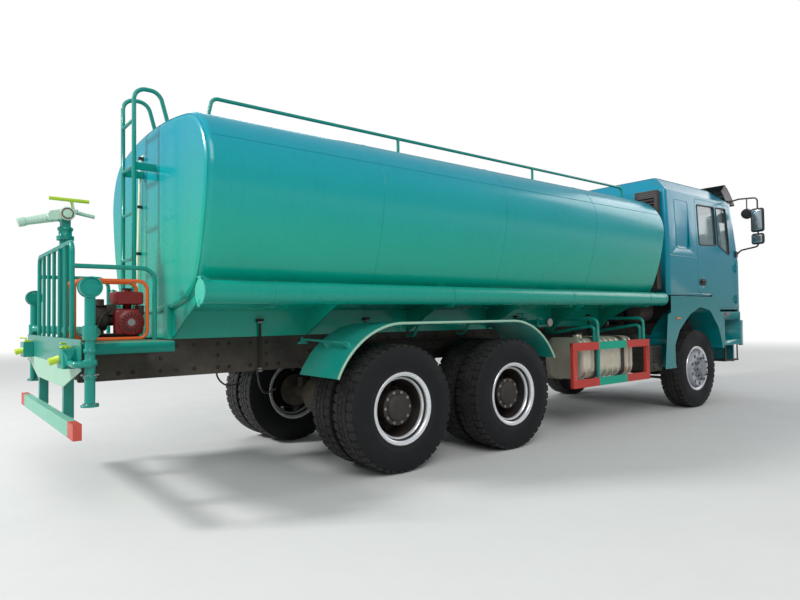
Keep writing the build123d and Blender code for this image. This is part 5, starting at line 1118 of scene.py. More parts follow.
    def rim(self, wheel: Wheel) -> None:
        """Build one rim's barrel with its flange and lock ring, painted near-white as a painted highlight."""
        barrel = Coat.RIM if wheel.front else Coat.HUB
        for part, coat, outline in (("barrel", barrel, self.barrel), ("flange", Coat.FLANGE, self.flange),
                                    ("lock_ring", Coat.FLANGE, self.lock_ring)):
            Piece(f"rim_{wheel.name}_{part}", coat, body=wheel.body).lathe(wheel.centre, wheel.out, outline, 72).done()

    def disc(self, wheel: Wheel, at: float) -> None:
        """Build a wheel disc with its hand holes.

        Args:
            wheel: The wheel.
            at: The disc face's place outward of the rim's middle.
        """
        piece = Piece(f"rim_{wheel.name}_disc", Coat.RIM if wheel.front else Coat.HUB, 40, wheel.body)
        centre, out = Vector(wheel.centre), Vector(wheel.out)
        root = math.copysign(self.disc_root, at)

        def ring_at(depth: float, radius: float) -> Ring:
            """Make one ring of points."""
            return piece.ring(centre + out * depth + Vector((c, 0, s)) * radius for c, s in circle(self.disc_steps))

        rise = [ring_at(root + (at - root) * share, radius) for share, radius in self.disc_rise]
        top = ring_at(at - (0.006 if wheel.front else 0.004), self.hole_band[0])
        bottom = ring_at(at, self.hole_band[1])
        piece.band([*rise, top])
        per = self.disc_steps // self.hole_count
        for hole, (c, s) in enumerate(circle(self.hole_count, 0.5)):
            radial, across = Vector((c, 0, s)), Vector((-s, 0, c))
            middle = centre + radial * self.hole_circle
            span = [k % self.disc_steps for k in range(hole * per, (hole + 1) * per + 1)]
            border = [top[k] for k in span] + [bottom[k] for k in reversed(span)]
            mouth = []
            for corner in border:
                away = corner.co - middle
                flat = Vector((away.dot(across), away.dot(radial))).normalized() * self.hole_radius
                mouth.append(middle + across * flat.x + radial * flat.y + out * (at - 0.003))
            piece.band([border, piece.ring(mouth), piece.ring(spot - out * self.disc_plate for spot in mouth)])
        piece.band([bottom, *(ring_at(at, radius) for radius in self.disc_inner)]).done()

    def hub(self, recipes: Recipes, wheel: Wheel, shape: HubShape) -> None:
        """Build a hub with its drum, studs, nuts and cap screws.

        Args:
            recipes: The shared trees.
            wheel: The hub's place, from which distances outward count.
            shape: The hub's shape.
        """
        hub = Piece(f"{wheel.name}_hub", shape.coat, 32, wheel.body)
        hub.lathe(wheel.centre, wheel.out, shape.outline, 48).done()
        face, back, lip = shape.drum, shape.drum - 0.17, shape.drum - 0.02
        drum = ((face, 0.05), (face, 0.205), (back, 0.205), (back, 0.190), (lip, 0.190), (lip, 0.05))
        Piece(f"{wheel.name}_drum", Coat.IRON, 32, wheel.body).lathe(wheel.centre, wheel.out, drum, 48).done()
        x, y, z = wheel.centre
        radius, at = shape.nuts
        for part, ring, start, width, height, coat, sides in (
                ("nuts", shape.nuts, shape.nut_start, 0.0165, 0.026, shape.coat, 6),
                ("studs", (radius, at + 0.014), shape.nut_start, 0.0085, 0.030, Coat.IRON, 10),
                ("cap_screws", shape.screws, 0.0, 0.009, 0.010, Coat.STEEL, 6)):
            spots = bolt_ring((x, y + wheel.hand.value * ring[1], z), wheel.out, ring[0], 10, start)
            recipes.fasteners.place(f"{wheel.name}_{part}", spots, width, height, coat, sides, wheel.body)

    def build(self, recipes: Recipes) -> None:
        """Build all wheels."""
        middle, dual = (self.inner_y + self.outer_y) / 2, (self.outer_y - self.inner_y) / 2
        for hand in Hand:
            body = f"front_wheel_{hand.word}"
            centre = (self.front_x, hand.value * self.front_y, self.axle_z)
            wheel = Wheel(f"front_{hand.word}", body, centre, hand, True)
            self.tyre(recipes, wheel, (body,))
            self.rim(wheel)
            self.disc(wheel, self.front_disc)
            self.hub(recipes, wheel, self.front_hub)
            for axle, x in self.twin_axles:
                body = f"{axle}_wheels_{hand.word}"
                for spot, side in (("outer", 1), ("inner", -1)):
                    centre = (x, hand.value * (middle + side * dual), self.axle_z)
                    wheel = Wheel(f"{axle}_{spot}_{hand.word}", body, centre, Hand(side * hand.value))
                    self.tyre(recipes, wheel, (body,) if side > 0 else ())
                    self.rim(wheel)
                    self.disc(wheel, self.twin_disc - dual)
                place = Wheel(f"{axle}_{hand.word}", body, (x, hand.value * middle, self.axle_z), hand)
                self.hub(recipes, place, self.twin_hub)


# ---------------------------------------------------------------- water body
@dataclass
class WaterTank:
    """The tank's fine shell, seams, manhole and small fittings."""

    rear_x: float = -3.825
    front_x: float = 2.265
    top: float = 2.915
    bottom: float = 1.360
    middle: float = 2.1
    head_round: float = 0.060
    corners: tuple[Pair, ...] = ((0.870, 2.835), (1.245, 2.330), (1.090, 1.700), (0.800, 1.450))
    seams: tuple[float, ...] = (-2.310, -0.790, 0.730)
    side_seam: float = 2.62
    manhole: Point = (-0.700, 0, 0)

    def section(self, steps: int = 14) -> list[Vector]:
        """Give the tank's outline as points in the YZ plane, from the top round its left side.

        Args:
            steps: The number of pieces in each arc.

        Returns:
            The closed outline.
        """
        points, heading = [Vector((0, self.top))], Vector((1, 0))
        for corner in self.corners:
            run, heading = tangent_arc(points[-1], heading, Vector(corner), steps)
            points += run
        last = points[-1]
        rise = last.y - self.bottom
        radius = (last.x ** 2 + rise ** 2) / (2 * rise)
        centre = Vector((0, self.bottom + radius))
        start = math.atan2(last.y - centre.y, last.x - centre.x)
        points += [centre + Vector(spoke) * radius for spoke in arc(start, -math.pi / 2, steps)[1:-1]]
        points.append(Vector((0, self.bottom)))
        return points + [Vector((-p.x, p.y)) for p in reversed(points[1:-1])]

    def inset(self, outline: list[Vector], by: float) -> list[Vector]:
        """Pull an outline inward along its normals.

        Args:
            outline: The closed outline.
            by: How far.

        Returns:
            The smaller outline.
        """
        moved = []
        for i, point in enumerate(outline):
            along = (outline[(i + 1) % len(outline)] - outline[i - 1]).normalized()
            inward = Vector((along.y, -along.x))
            if inward.dot(Vector((0, self.middle)) - point) < 0:
                inward.negate()
            moved.append(point + inward * by)
        return moved

    def shell(self) -> None:
        """Build the tank's body with its rounded heads."""
        piece = Piece("tank_shell", Coat.TANK, 30)
        outline, turn = self.section(), self.head_round
        head = [(self.rear_x + turn * (1 - c), turn * (1 - s)) for c, s in arc(0, math.pi / 2, 8)]
        body = [(x, 0.0) for x in walk(self.rear_x + turn, self.front_x - turn, 30)]
        front = [(self.front_x - (x - self.rear_x), by) for x, by in reversed(head)]
        rings = [piece.ring((x, p.x, p.y) for p in self.inset(outline, by)) for x, by in head + body[1:-1] + front]
        piece.mesh.faces.new(rings[0])
        piece.mesh.faces.new(rings[-1][::-1])
        piece.band(rings).done("tank")

    def weld(self) -> None:
        """Build the weld beads round and along the shell."""
        outline = self.section(10)
        edge = self.inset(outline, self.head_round * 0.35)
        piece = Piece("tank_welds", Coat.TANK, 60)
        for x in self.seams:
            piece.tube([(x, p.x, p.y) for p in outline], 0.0032, 6, closed=True)
        for x in (self.rear_x + 0.012, self.front_x - 0.012):
            piece.tube([(x, p.x, p.y) for p in edge], 0.004, 6, closed=True)
        for side in (1, -1):
            spot = min((p for p in outline if p.x * side > 0), key=lambda p: abs(p.y - self.side_seam))
            run = walk(self.rear_x + self.head_round, self.front_x - self.head_round, 24)
            piece.tube([(x, spot.x, spot.y) for x in run], 0.0028, 6)
        piece.done()

    def fittings(self, recipes: Recipes) -> None:
        """Build the manhole's neck and bolts, lifting eyes and the level tube."""
        neck = ((2.86, 0.236), (2.86, 0.250), (2.974, 0.250), (2.976, 0.268), (2.994, 0.268), (2.994, 0.236))
        Piece("manhole_neck", Coat.TANK, 35).lathe(self.manhole, UP, neck, 64).done()
        x = self.rear_x - 0.024
        low, high = Vector((x, 0.305, 1.49)), Vector((x, 0.195, 2.70))
        path = [low + Vector((0.03, 0, -0.03)), low, high, high + Vector((0.03, 0, 0.03))]
        Piece("level_tube", Coat.LEVEL, 30).tube(rounded(path, 0.02), 0.011, 12).done()
        clips = Piece("level_tube_clips", Coat.BLACK, 30)
        for share in (0.0, 0.33, 0.66, 1.0):
            _, y, z = low.lerp(high, share)
            clips.block((x - 0.014, y - 0.016, z - 0.012), (self.rear_x + 0.002, y + 0.016, z + 0.012), 0.002)
        clips.done()
        eyes = Piece("lifting_eyes", Coat.TANK, 30)
        for x in (-3.2, 1.7):
            for side in (1, -1):
                eyes.tube([(x + 0.035 * c, side * 0.42, 2.900 + 0.04 * s) for c, s in arc(0, math.pi, 10)], 0.008, 8)
        eyes.done()
        spots = bolt_ring((self.manhole[0], 0, 2.972), DOWN, 0.259, 16)
        recipes.fasteners.place("manhole_bolts", spots, 0.009, 0.012)

    def build(self, recipes: Recipes) -> None:
        """Build the tank."""
        self.shell()
        self.weld()
        self.fittings(recipes)
        skin("manhole_lid", Coat.TANK, "manhole_lid")
        skin("tank_bearers", Coat.TANK)
        skin("ladder_and_handrails", Coat.RAIL, sharp=40)


@dataclass
class HoseTubes:
    """The long hose tubes with their straps and end caps."""

    y: float = 1.160
    z: float = 1.505
    radius: float = 0.084
    straps: tuple[float, ...] = (-3.300, -1.500, 0.300, 1.900, -3.819, 2.285)
    half_strap: float = 0.014

    def build(self) -> None:
        """Build both tubes' straps, and dress the caps and tubes."""
        low, high, half = self.radius - 0.002, self.radius + 0.003, self.half_strap
        for hand in Hand:
            straps = Piece(f"hose_tube_straps_{hand.word}", Coat.TUBE, 35)
            for x in self.straps:
                straps.lathe((0.0, hand.value * self.y, self.z), AHEAD,
                             [(x - half, low), (x - half, high), (x + half, high), (x + half, low)], 40)
            straps.done()
            # The caps' lighter teal is a painted highlight.
            skin(f"hose_tube_cap_{hand.word}", Coat.CAP, f"hose_tube_cap_{hand.word}")
        skin("hose_tubes", Coat.TUBE, sharp=35)


@dataclass
class SkinTable:
    """CAD nodes whose own shape stays: each gets a smooth, dressed copy, or its own material if it is glass."""

    rows: tuple = (
        # node, finish, body and zones with another finish
        ("chassis_frame", Coat.CHASSIS), ("engine", Coat.IRON), ("leaf_springs", Coat.AXLE),
        ("front_axle", Coat.AXLE), ("drive_axles", Coat.AXLE), ("silencer", Coat.BOX_GREY),
        ("air_intake", Coat.MESH), ("battery_box", Coat.BLACK),
        ("side_guards", Coat.GUARD_STRIPES, "chassis", (
            Zone(Coat.RAIL, z=(1.001, 2)), Zone(Coat.RAIL, y=(0, 1.152), z=(0.3, 2)),
            Zone(Coat.RAIL, (0.78, 0.83), (1.150, 1.2), (0.589, 0.911)))),
        ("mudguards", Coat.ARCH, "chassis", (
            Zone(Coat.BLACK, (3.9, 4.5), (0.9, 1.3), (0.5, 0.839)),
            Zone(Coat.GUARD_EDGE, (-4, 0.6), (1.235, 1.3), (0.5, 1.4)),
            Zone(Coat.GUARD, (-4, 0.6), (0, 1.3), (0.5, 1.4)))),
        ("bumper", Coat.CAB),
        ("rear_platform", Coat.DECK, "chassis", (
            Zone(Coat.TAIL, x=(-9, -4.5535), z=(0, 1.3)), Zone(Coat.RAIL, z=(0, 1.17)))),
        ("rear_railing", Coat.RAIL), ("underrun_bar", Coat.BAR_STRIPES, "chassis", (Zone(Coat.RAIL, z=(0.69, 2)),)),
        ("water_pipes", Coat.RAIL, "chassis", (Zone(Coat.YELLOW, x=(-9, -4.6345), z=(0, 1.13)),)),
        ("motor_pump", Coat.ORANGE, "chassis", (
            Zone(Coat.ENGINE_RED, (-4.22, -4.035), (-0.585, -0.36), (1.223, 1.56), False),
            Zone(Coat.IRON, (-4.38, -4.18), (-0.56, -0.36), (1.223, 1.48), False),
            Zone(Coat.BLACK, (-4.41, -4.06), (-0.565, -0.36), (1.18, 1.223), False))),
        ("fuel_tank", Coat.ALUMINIUM), ("cab_body", Coat.CAB, "cab"), ("cab_roof", Coat.CAB, "cab"),
        ("visor_and_mirrors", Coat.MIRROR_SHELL, "cab", (
            Zone(Coat.VISOR, (4.2, 4.9), (0, 1.09), (2.9, 3.4)),
            Zone(Coat.MIRROR, (4.52, 4.5253), (1.39, 1.57), (2.3, 2.9)))),
        ("cab_interior", Coat.INTERIOR, "cab"), ("front_flap", Coat.CAB, "front_flap"),
        ("door_left", Coat.CAB, "door_left"), ("door_right", Coat.CAB, "door_right"),
        ("tie_rod", Coat.AXLE, "tie_rod"), ("knuckle_left", Coat.AXLE, "knuckle_left"),
        ("knuckle_right", Coat.AXLE, "knuckle_right"), ("cannon_turret", Coat.RAIL, "cannon_turret"),
        ("cannon_barrel", Coat.PALE, "cannon_barrel", (Zone(Coat.YELLOW, z=(2.2, 3)),)),
    )
    glass: tuple = (("windscreen", Coat.GLASS), ("door_glass_left", Coat.GLASS), ("door_glass_right", Coat.GLASS),
                    ("headlamps", Coat.LAMP))

    def build(self) -> None:
        """Dress every row's node, and give the glass its own material in place."""
        for row in self.rows:
            skin(*row)
        for node, coat in self.glass:
            data = frame["nodes"][node].data
            data.materials.clear()
            data.materials.append(coat.material())


# ---------------------------------------------------------------- trim
@dataclass
class CabTrim:
    """Gaskets, handles, wipers and lamps of the cab."""

    waist: float = 2.090
    gutter: float = 2.980
    half_width: float = 1.190
    side_lean: float = 0.040
    front_x: float = 4.695
    front_lean: float = 0.150
    windows: tuple = (
        ((3.320, 2.855), (3.845, 2.870), (3.845, 2.305), (3.320, 2.280)),
        ((3.905, 2.872), (4.225, 2.880), (4.265, 2.410), (4.258, 2.180), (4.085, 2.245), (3.905, 2.308)),
    )
    pane: tuple[Pair, ...] = ((-1.000, 2.150), (1.000, 2.150), (0.960, 2.900), (-0.960, 2.900))
    recess: tuple[Pair, ...] = ((2.675, 2.200), (3.045, 2.200), (3.045, 2.870), (2.675, 2.870))
    handle: tuple = (
        # part, finish, two corners
        ("cup", Coat.TRIM, (3.300, 1.186, 1.700), (3.470, 1.1915, 1.800)),
        ("grip", Coat.BLACK, (3.312, 1.196, 1.742), (3.445, 1.218, 1.772)),
        ("post", Coat.BLACK, (3.318, 1.188, 1.745), (3.338, 1.205, 1.769)),
        ("lock", Coat.STEEL, (3.450, 1.190, 1.722), (3.464, 1.196, 1.736)),
    )
    markers: tuple = (
        ("arch_marker", Coat.AMBER, (2.500, 1.2415, 1.240), (2.610, 1.2530, 1.266)),
        ("step_marker", Coat.RED_LENS, (3.940, 1.2415, 1.286), (4.060, 1.2530, 1.312)),
    )

    def lean(self, z: float) -> float:
        """Give how far up between waist and gutter a height lies, from 0 to 1."""
        return max(0.0, min(1.0, (z - self.waist) / (self.gutter - self.waist)))

    def side_y(self, z: float) -> float:
        """Give the cab side's distance from the middle at a height."""
        return self.half_width - self.side_lean * self.lean(z)

    def front_at(self, z: float) -> float:
        """Give the cab front's place at a height."""
        return self.front_x - self.front_lean * self.lean(z)

    def side_line(self, outline: tuple[Pair, ...], side: int, off: float, radius: float) -> list[Vector]:
        """Lay a rounded outline on the cab's side.

        Args:
            outline: The outline's corners as distances forward and up.
            side: The side.
            off: How far off the side it lies.
            radius: How far its corners are rounded.

        Returns:
            The outline's points.
        """
        return closed_round([(x, side * (self.side_y(z) + off), z) for x, z in outline], radius)

    def gaskets(self) -> None:
        """Build the rubber seals round the windows and the windscreen, and the panels' beads."""
        for hand in Hand:
            side = hand.value
            seal = Piece(f"door_seals_{hand.word}", Coat.TRIM, 50, f"door_{hand.word}")
            for outline in self.windows:
                seal.tube(self.side_line(outline, side, 0.001, 0.032), 0.009, 8, closed=True)
            seal.done()
            bead = Piece(f"cab_panel_bead_{hand.word}", Coat.CAB, 50, "cab")
            bead.tube(self.side_line(self.recess, side, -0.001, 0.05), 0.006, 8, closed=True)
            line = [(x, side * (self.half_width - 0.0005), self.waist) for x in (2.45, 3.245)]
            bead.tube(line, 0.005, 8).done()
        pane = closed_round([(self.front_at(z) + 0.001, y, z) for y, z in self.pane], 0.06)
        Piece("windscreen_seal", Coat.TRIM, 50, "cab").tube(pane, 0.012, 8, closed=True).done()

    def wipers(self) -> None:
        """Build the two wipers."""
        wipers = Piece("wipers", Coat.BLACK, 40, "cab")
        for y in (-0.78, 0.06):
            wipers.lathe((4.690, y, 2.118), AHEAD, [(0.0, 0.0), (0.0, 0.018), (0.022, 0.014), (0.024, 0.0)], 16)
            wipers.tube([(4.708, y, 2.118), (4.690, y + 0.34, 2.235)], 0.006, 8)
            wipers.tube([(4.697, y + 0.02, 2.190), (4.676, y + 0.66, 2.285)], 0.007, 6)
        wipers.done()

    def handles(self) -> None:
        """Build the door handles, their cups and locks."""
        for hand in Hand:
            for part, coat, *ends in self.handle:
                piece = Piece(f"door_handle_{part}_{hand.word}", coat, 40, f"door_{hand.word}")
                piece.block(*(mirror(end, hand.value) for end in ends), 0.004).done()

    def lamps(self) -> None:
        """Build the lamps' bowls, the side markers and the grille's mesh."""
        bowl = ((0.0, 0.0), (0.001, 0.022), (0.006, 0.048), (0.014, 0.066), (0.015, 0.070))
        for hand in Hand:
            bowls = Piece(f"headlamp_bowls_{hand.word}", Coat.REFLECTOR, 40)
            for y in (0.665, 0.825):
                bowls.lathe(mirror((4.7510, y, 1.012), hand.value), AHEAD, bowl, 32, closed=False)
            bowls.done()
            for name, coat, *ends in self.markers:
                piece = Piece(f"{name}_{hand.word}", coat, 40)
                piece.block(*(mirror(end, hand.value) for end in ends), 0.003).done()
        mesh = Piece("grille_mesh", Coat.GRILLE, 40, "front_flap")
        mesh.block((4.646, -0.705, 1.495), (4.650, 0.705, 1.985)).done()

    def build(self) -> None:
        """Build the cab's trim."""
        self.gaskets()
        self.wipers()
        self.handles()
        self.lamps()


@dataclass
class FrameTrim:
    """Bolts, tie rods, stays, lines, the side valve, straps and louvres along the frame."""

    rail_face: float = 0.4305
    bolt_rows: Point = (0.925, 1.02, 1.115)
    bolt_start: float = -4.35
    bolt_step: float = 0.15
    bolt_count: int = 58
    tie_xs: tuple[float, ...] = (-3.06, -1.95, 0.24, 1.70)
    tie_foot: float = 0.862
    tie_head: float = 1.305
    tank_low: Point = (0.640, -1.110, 0.570)
    tank_high: Point = (1.640, -0.560, 1.040)
    tank_corner: float = 0.130
    ribs: tuple[float, ...] = (0.668, 0.965, 1.080, 1.200, 1.315, 1.520, 1.612)
    straps: tuple[float, ...] = (0.830, 1.380)
    stay_x: float = -2.640
    guard_centre: Point = (-2.125, 0, 0.542)
    guard_radius: float = 0.7255
    valve_x: float = 0.10
    valve_z: float = 1.235

    def bolts(self, recipes: Recipes) -> None:
        """Build the rows of bolts on the frame's rails, and black discs as painted shade for the rails' holes."""
        spots = []
        for side in (1, -1):
            for step in range(self.bolt_count):
                x = self.bolt_start + step * self.bolt_step + 0.03 * math.sin(step * 2.4)
                rows = self.bolt_rows[::2] if step % 3 else self.bolt_rows
                spots += [((x, side * self.rail_face, z), (0, side, 0)) for z in rows]
        recipes.fasteners.place("rail_bolts", spots, 0.0105, 0.014, Coat.IRON)
        # The rails' holes are flat black discs: painted shade where the channel's inside would show.
        holes = [((-3.95 + k * 0.55, -self.rail_face, 1.02 + 0.02 * math.cos(k * 2.1)), RIGHT) for k in range(4)]
        recipes.fasteners.place("rail_holes", holes, 0.022, 0.003, Coat.TRIM, 20)

    def ties(self, recipes: Recipes) -> None:
        """Build the tie rods between tank and frame, with their nuts."""
        rods = Piece("tank_ties", Coat.IRON, 40)
        nuts = []
        for side in (1, -1):
            y = side * (self.rail_face + 0.022)
            for x in self.tie_xs:
                rods.tube([(x, y, self.tie_foot), (x, y, self.tie_head)], 0.011, 10)
                rods.block((x - 0.03, y - 0.022, 1.295), (x + 0.03, y + 0.022, 1.312), 0.002)
                nuts += [((x, y, z), UP) for z in (0.874, 0.894, 1.285)]
        rods.done()
        recipes.fasteners.place("tank_tie_nuts", nuts, 0.019, 0.016)

    def stays(self) -> None:
        """Build the stays that hold the rear ends of the twin arches off the frame."""
        stays = Piece("guard_stays", Coat.GUARD, 40)
        out = Vector((self.stay_x - self.guard_centre[0], 0, 0.570)).normalized()
        across = Vector((out.z, 0, -out.x))
        foot = Vector(self.guard_centre) + out * self.guard_radius
        for side in (1, -1):
            face = side * self.rail_face
            stays.tube([(self.stay_x, face, 1.125), (self.stay_x, side * 1.165, 1.112)], 0.011, 12)
            stays.prism([(self.stay_x + x, face, z) for x, z in ((-0.055, 1.085), (0.055, 1.085), (0, 1.150))],
                        (0, side * 0.006, 0))
            for y in (0.800, 1.110):
                corner = foot + Vector((0, side * y, 0))
                stays.prism([corner + across * wide + out * high for wide, high in (
                    (-0.022, 0), (0.022, 0), (0.014, 0.046), (-0.014, 0.046))], (0, side * 0.045, 0))
        stays.done()

    def lines(self) -> None:
        """Build the air and brake lines along the rails, and the brake lines' hanging ends."""
        hoses = Piece("frame_lines", Coat.HOSE, 40)
        for side in (1, -1):
            for z, radius in ((1.075, 0.008), (1.052, 0.006), (0.965, 0.007)):
                hoses.tube([(x, side * (self.rail_face + 0.010), z + 0.006 * math.sin(x * 3 + z * 40))
                            for x in (-1.9 + k * 0.2 for k in range(22))], radius, 8)
            for x in (self.tie_xs[0] - 0.03, -0.05):
                path = [(x, side * 0.445, 0.90), (x + 0.02, side * 0.46, 0.74), (x + 0.10, side * 0.40, 0.66),
                        (x + 0.22, side * 0.36, 0.70)]
                hoses.tube(rounded(path, 0.08), 0.009, 8)
        hoses.done()

    def valve(self, recipes: Recipes) -> None:
        """Build the water valve beside the frame, with its handwheel, cap and bolts."""
        x, z, top = self.valve_x, self.valve_z, self.valve_z + 0.1
        pipe = Piece("side_valve", Coat.RAIL, 35)
        pipe.tube(rounded([(x, -0.47, z), (x, -0.86, z), (x, -1.02, z)], 0.05), 0.030, 16)
        for y in (-0.60, -0.72, -0.90):
            pipe.lathe((x, y, z), RIGHT, [(0.0, 0.02), (0.0, 0.055), (0.016, 0.055), (0.016, 0.02)], 24)
        bulge = [(-0.05, 0.03), (-0.03, 0.05), (0.03, 0.05), (0.05, 0.03)]
        pipe.lathe((x, -0.66, z), RIGHT, bulge, 24, closed=False)
        pipe.tube([(x, -0.66, z), (x, -0.66, top)], 0.010, 8)
        pipe.tube([(x + 0.055 * c, -0.66 + 0.055 * s, top) for c, s in circle(20)], 0.007, 8, closed=True)
        pipe.tube([(x - 0.055, -0.66, top), (x + 0.055, -0.66, top)], 0.006, 6).done()
        cap = [(0.0, 0.0), (0.0, 0.044), (0.03, 0.044), (0.034, 0.030), (0.034, 0.0)]
        Piece("side_valve_cap", Coat.STEEL, 35).lathe((x, -1.02, z), RIGHT, cap, 24).done()
        spots = [spot for y in (-0.617, -0.737) for spot in bolt_ring((x, y, z), RIGHT, 0.044, 6)]
        recipes.fasteners.place("side_valve_bolts", spots, 0.006, 0.010)

    def fuel(self) -> None:
        """Build the fuel tank's pressed ribs, its straps and its cap."""
        def wrap(piece: Piece, x: float, profile: Iterable[Pair]) -> None:
            """Run a profile round the tank's section.

            Args:
                piece: The piece that gets it.
                x: Where distances along the tank start.
                profile: Distances along the tank and outward.
            """
            rings = []
            for along, by in profile:
                (_, low_y, low_z), (_, high_y, high_z) = self.tank_low, self.tank_high
                corners = ((low_y - by, low_z - by), (high_y + by, low_z - by), (high_y + by, high_z + by),
                           (low_y - by, high_z + by))
                rings.append(piece.ring(closed_round([(x + along, y, z) for y, z in corners], self.tank_corner + by)))
            piece.band(rings)

        ribs = Piece("fuel_tank_ribs", Coat.ALUMINIUM, 60)
        for x in self.ribs:
            wrap(ribs, x, [(0.013 * c, 0.008 * s - 0.001) for c, s in arc(0, math.pi, 6)])
        ribs.done()
        straps = Piece("fuel_tank_straps", Coat.BLACK, 40)
        for x in self.straps:
            wrap(straps, x, [(-0.002, 0.004), (-0.002, 0.0105), (0.062, 0.0105), (0.062, 0.004)])
        straps.done()
        cap = [(0.0, 0.0), (0.0, 0.056), (0.022, 0.056), (0.028, 0.050), (0.028, 0.0)]
        Piece("fuel_cap", Coat.BLACK, 35).lathe((0.800, -0.900, 1.080), UP, cap, 32).done()

    def patterns(self, recipes: Recipes) -> None:
        """Build the silencer cover's louvres and the deck's raised pattern."""
        for name, y, way in (("outer", -1.1305, -0.006), ("inner", -0.6995, 0.006)):
            slat = Piece(f"silencer_louvres_{name}", Coat.BOX_GREY, 30)
            slat.prism([(2.085, y, 0.615), (2.085, y + way, 0.612), (2.085, y + way, 0.618), (2.085, y, 0.632)],
                       (0.100, 0, 0))
            recipes.grid.repeat(slat, Across=2, Along=9, First=(0.117, 0, 0), Second=(0, 0, 0.029))
        stud = Piece("deck_pattern", Coat.DECK, 30)
        stud.prism([(-4.538, -1.030, 1.172), (-4.530, -1.026, 1.172), (-4.518, -1.018, 1.172),
                    (-4.526, -1.022, 1.172)], (0, 0, 0.0018))
        recipes.grid.repeat(stud, Across=19, Along=69, First=(0.029, 0, 0), Second=(0, 0.030, 0))

    def build(self, recipes: Recipes) -> None:
        """Build the frame's trim."""
        self.bolts(recipes)
        self.ties(recipes)
        self.stays()
        self.lines()
        self.valve(recipes)
        self.fuel()
        self.patterns(recipes)


@dataclass
class DeckTrim:
    """Small parts of the motor pump, the cannon and the rear nozzles."""

    pivot: Point = (-4.455, 0.0, 2.130)
    starter: Point = (-4.130, -0.572, 1.300)
    spray_x: float = -4.510
    spray_y: float = 1.095

    def engine(self, recipes: Recipes) -> None:
        """Build the engine's starter, shroud, tank cap, small parts and fins."""
        x, y, z = self.starter
        cover = [(-0.01, 0.0), (-0.01, 0.094), (0.004, 0.094), (0.016, 0.078), (0.018, 0.030), (0.018, 0.0)]
        Piece("pump_starter", Coat.ENGINE_RED, 35).lathe(self.starter, RIGHT, cover, 40).done()
        shroud = Piece("pump_shroud", Coat.ENGINE_RED, 40)
        shroud.block((x - 0.112, y - 0.006, z - 0.092), (x + 0.096, y + 0.070, z + 0.100), 0.036)
        shroud.block((x - 0.108, y + 0.030, z + 0.130), (x + 0.102, y + 0.190, z + 0.226), 0.022).done()
        vent = Piece("pump_starter_vents", Coat.BLACK, 30)
        vent.block((-0.0035, -0.005, 0.042), (0.0035, 0.004, 0.072), 0.001)
        recipes.ring.repeat(vent, Count=16, Centre=(x, y - 0.016, z), Start=0.0)
        knob = [(0.0, 0.0), (0.0, 0.028), (0.005, 0.024), (0.005, 0.0)]
        Piece("pump_starter_knob", Coat.GREY, 35).lathe((x, y - 0.016, z), RIGHT, knob, 24).done()
        parts = Piece("pump_engine_parts", Coat.IRON, 35)
        parts.block((x + 0.052, y - 0.004, z + 0.055), (x + 0.092, y + 0.10, z + 0.125), 0.006)
        parts.block((x - 0.150, y + 0.030, z + 0.055), (x - 0.088, y + 0.150, z + 0.130), 0.008)
        parts.lathe((x, -0.470, 1.540), UP, [(0.0, 0.0), (0.0, 0.036), (0.012, 0.036), (0.014, 0.0)], 24)
        pipe = [(x - 0.12, y + 0.03, z + 0.1), (x - 0.2, y - 0.01, z + 0.05), (x - 0.23, y + 0.02, z - 0.08),
                (x - 0.15, y + 0.02, z - 0.11)]
        parts.tube(rounded(pipe, 0.05), 0.005, 6).done()
        fins = Piece("pump_cylinder_fins", Coat.IRON, 30)
        fins.block((x - 0.100, y + 0.028, z + 0.010), (x - 0.070, y + 0.200, z + 0.013))
        recipes.grid.repeat(fins, Across=1, Along=8, First=(0, 0, 0), Second=(0, 0, 0.011))

    def cannon(self) -> None:
        """Build the caps on the cannon's elbow and their coloured rings."""
        cap = ((0.0, 0.0), (0.0, 0.052), (0.010, 0.052), (0.014, 0.046), (0.010, 0.034), (0.016, 0.030), (0.018, 0.0))
        ring = ((0.0, 0.036), (0.003, 0.036), (0.003, 0.042), (0.0, 0.042))
        for name, coat, y, outline in (("cannon_caps", Coat.PALE, 0.0775, cap),
                                       ("cannon_cap_rings", Coat.ENGINE_RED, 0.0905, ring)):
            piece = Piece(name, coat, 35, "cannon_barrel")
            for side in (1, -1):
                piece.lathe((self.pivot[0], side * y, self.pivot[2]), (0, side, 0), outline, 32)
            piece.done()

    def nozzles(self, recipes: Recipes) -> None:
        """Build the bolts of the pipes' flanges, the spray heads' rims and the blocks' valve levers."""
        rims = Piece("spray_head_rims", Coat.RAIL, 35)
        levers = Piece("nozzle_levers", Coat.YELLOW, 35)
        rim = ((-0.006, 0.056), (-0.006, 0.066), (0.006, 0.066), (0.006, 0.056))
        spots = []
        for side in (1, -1):
            y = side * self.spray_y
            for face in (-0.035, 0.035):
                rims.lathe((self.spray_x, y + face, 1.525), LEFT, rim, 40)
            for z in (0.801, 0.981):
                spots += bolt_ring((self.spray_x, y, z), UP, 0.043, 6)
            levers.block((-4.622, side * 0.805 - 0.030, 1.1405), (-4.572, side * 0.805 + 0.030, 1.156), 0.003)
            levers.tube([(-4.600, side * 0.86, 1.141), (-4.604, side * 0.86, 1.172), (-4.640, side * 0.90, 1.176)],
                        0.007, 8)
        rims.done()
        levers.done()
        recipes.fasteners.place("pipe_flange_bolts", spots, 0.007, 0.010)
        column = bolt_ring((self.pivot[0], 0, 1.188), UP, 0.050, 8, 0.5)
        recipes.fasteners.place("column_bolts", column, 0.006, 0.010)

    def build(self, recipes: Recipes) -> None:
        """Build the deck's small parts."""
        self.engine(recipes)
        self.cannon()
        self.nozzles(recipes)


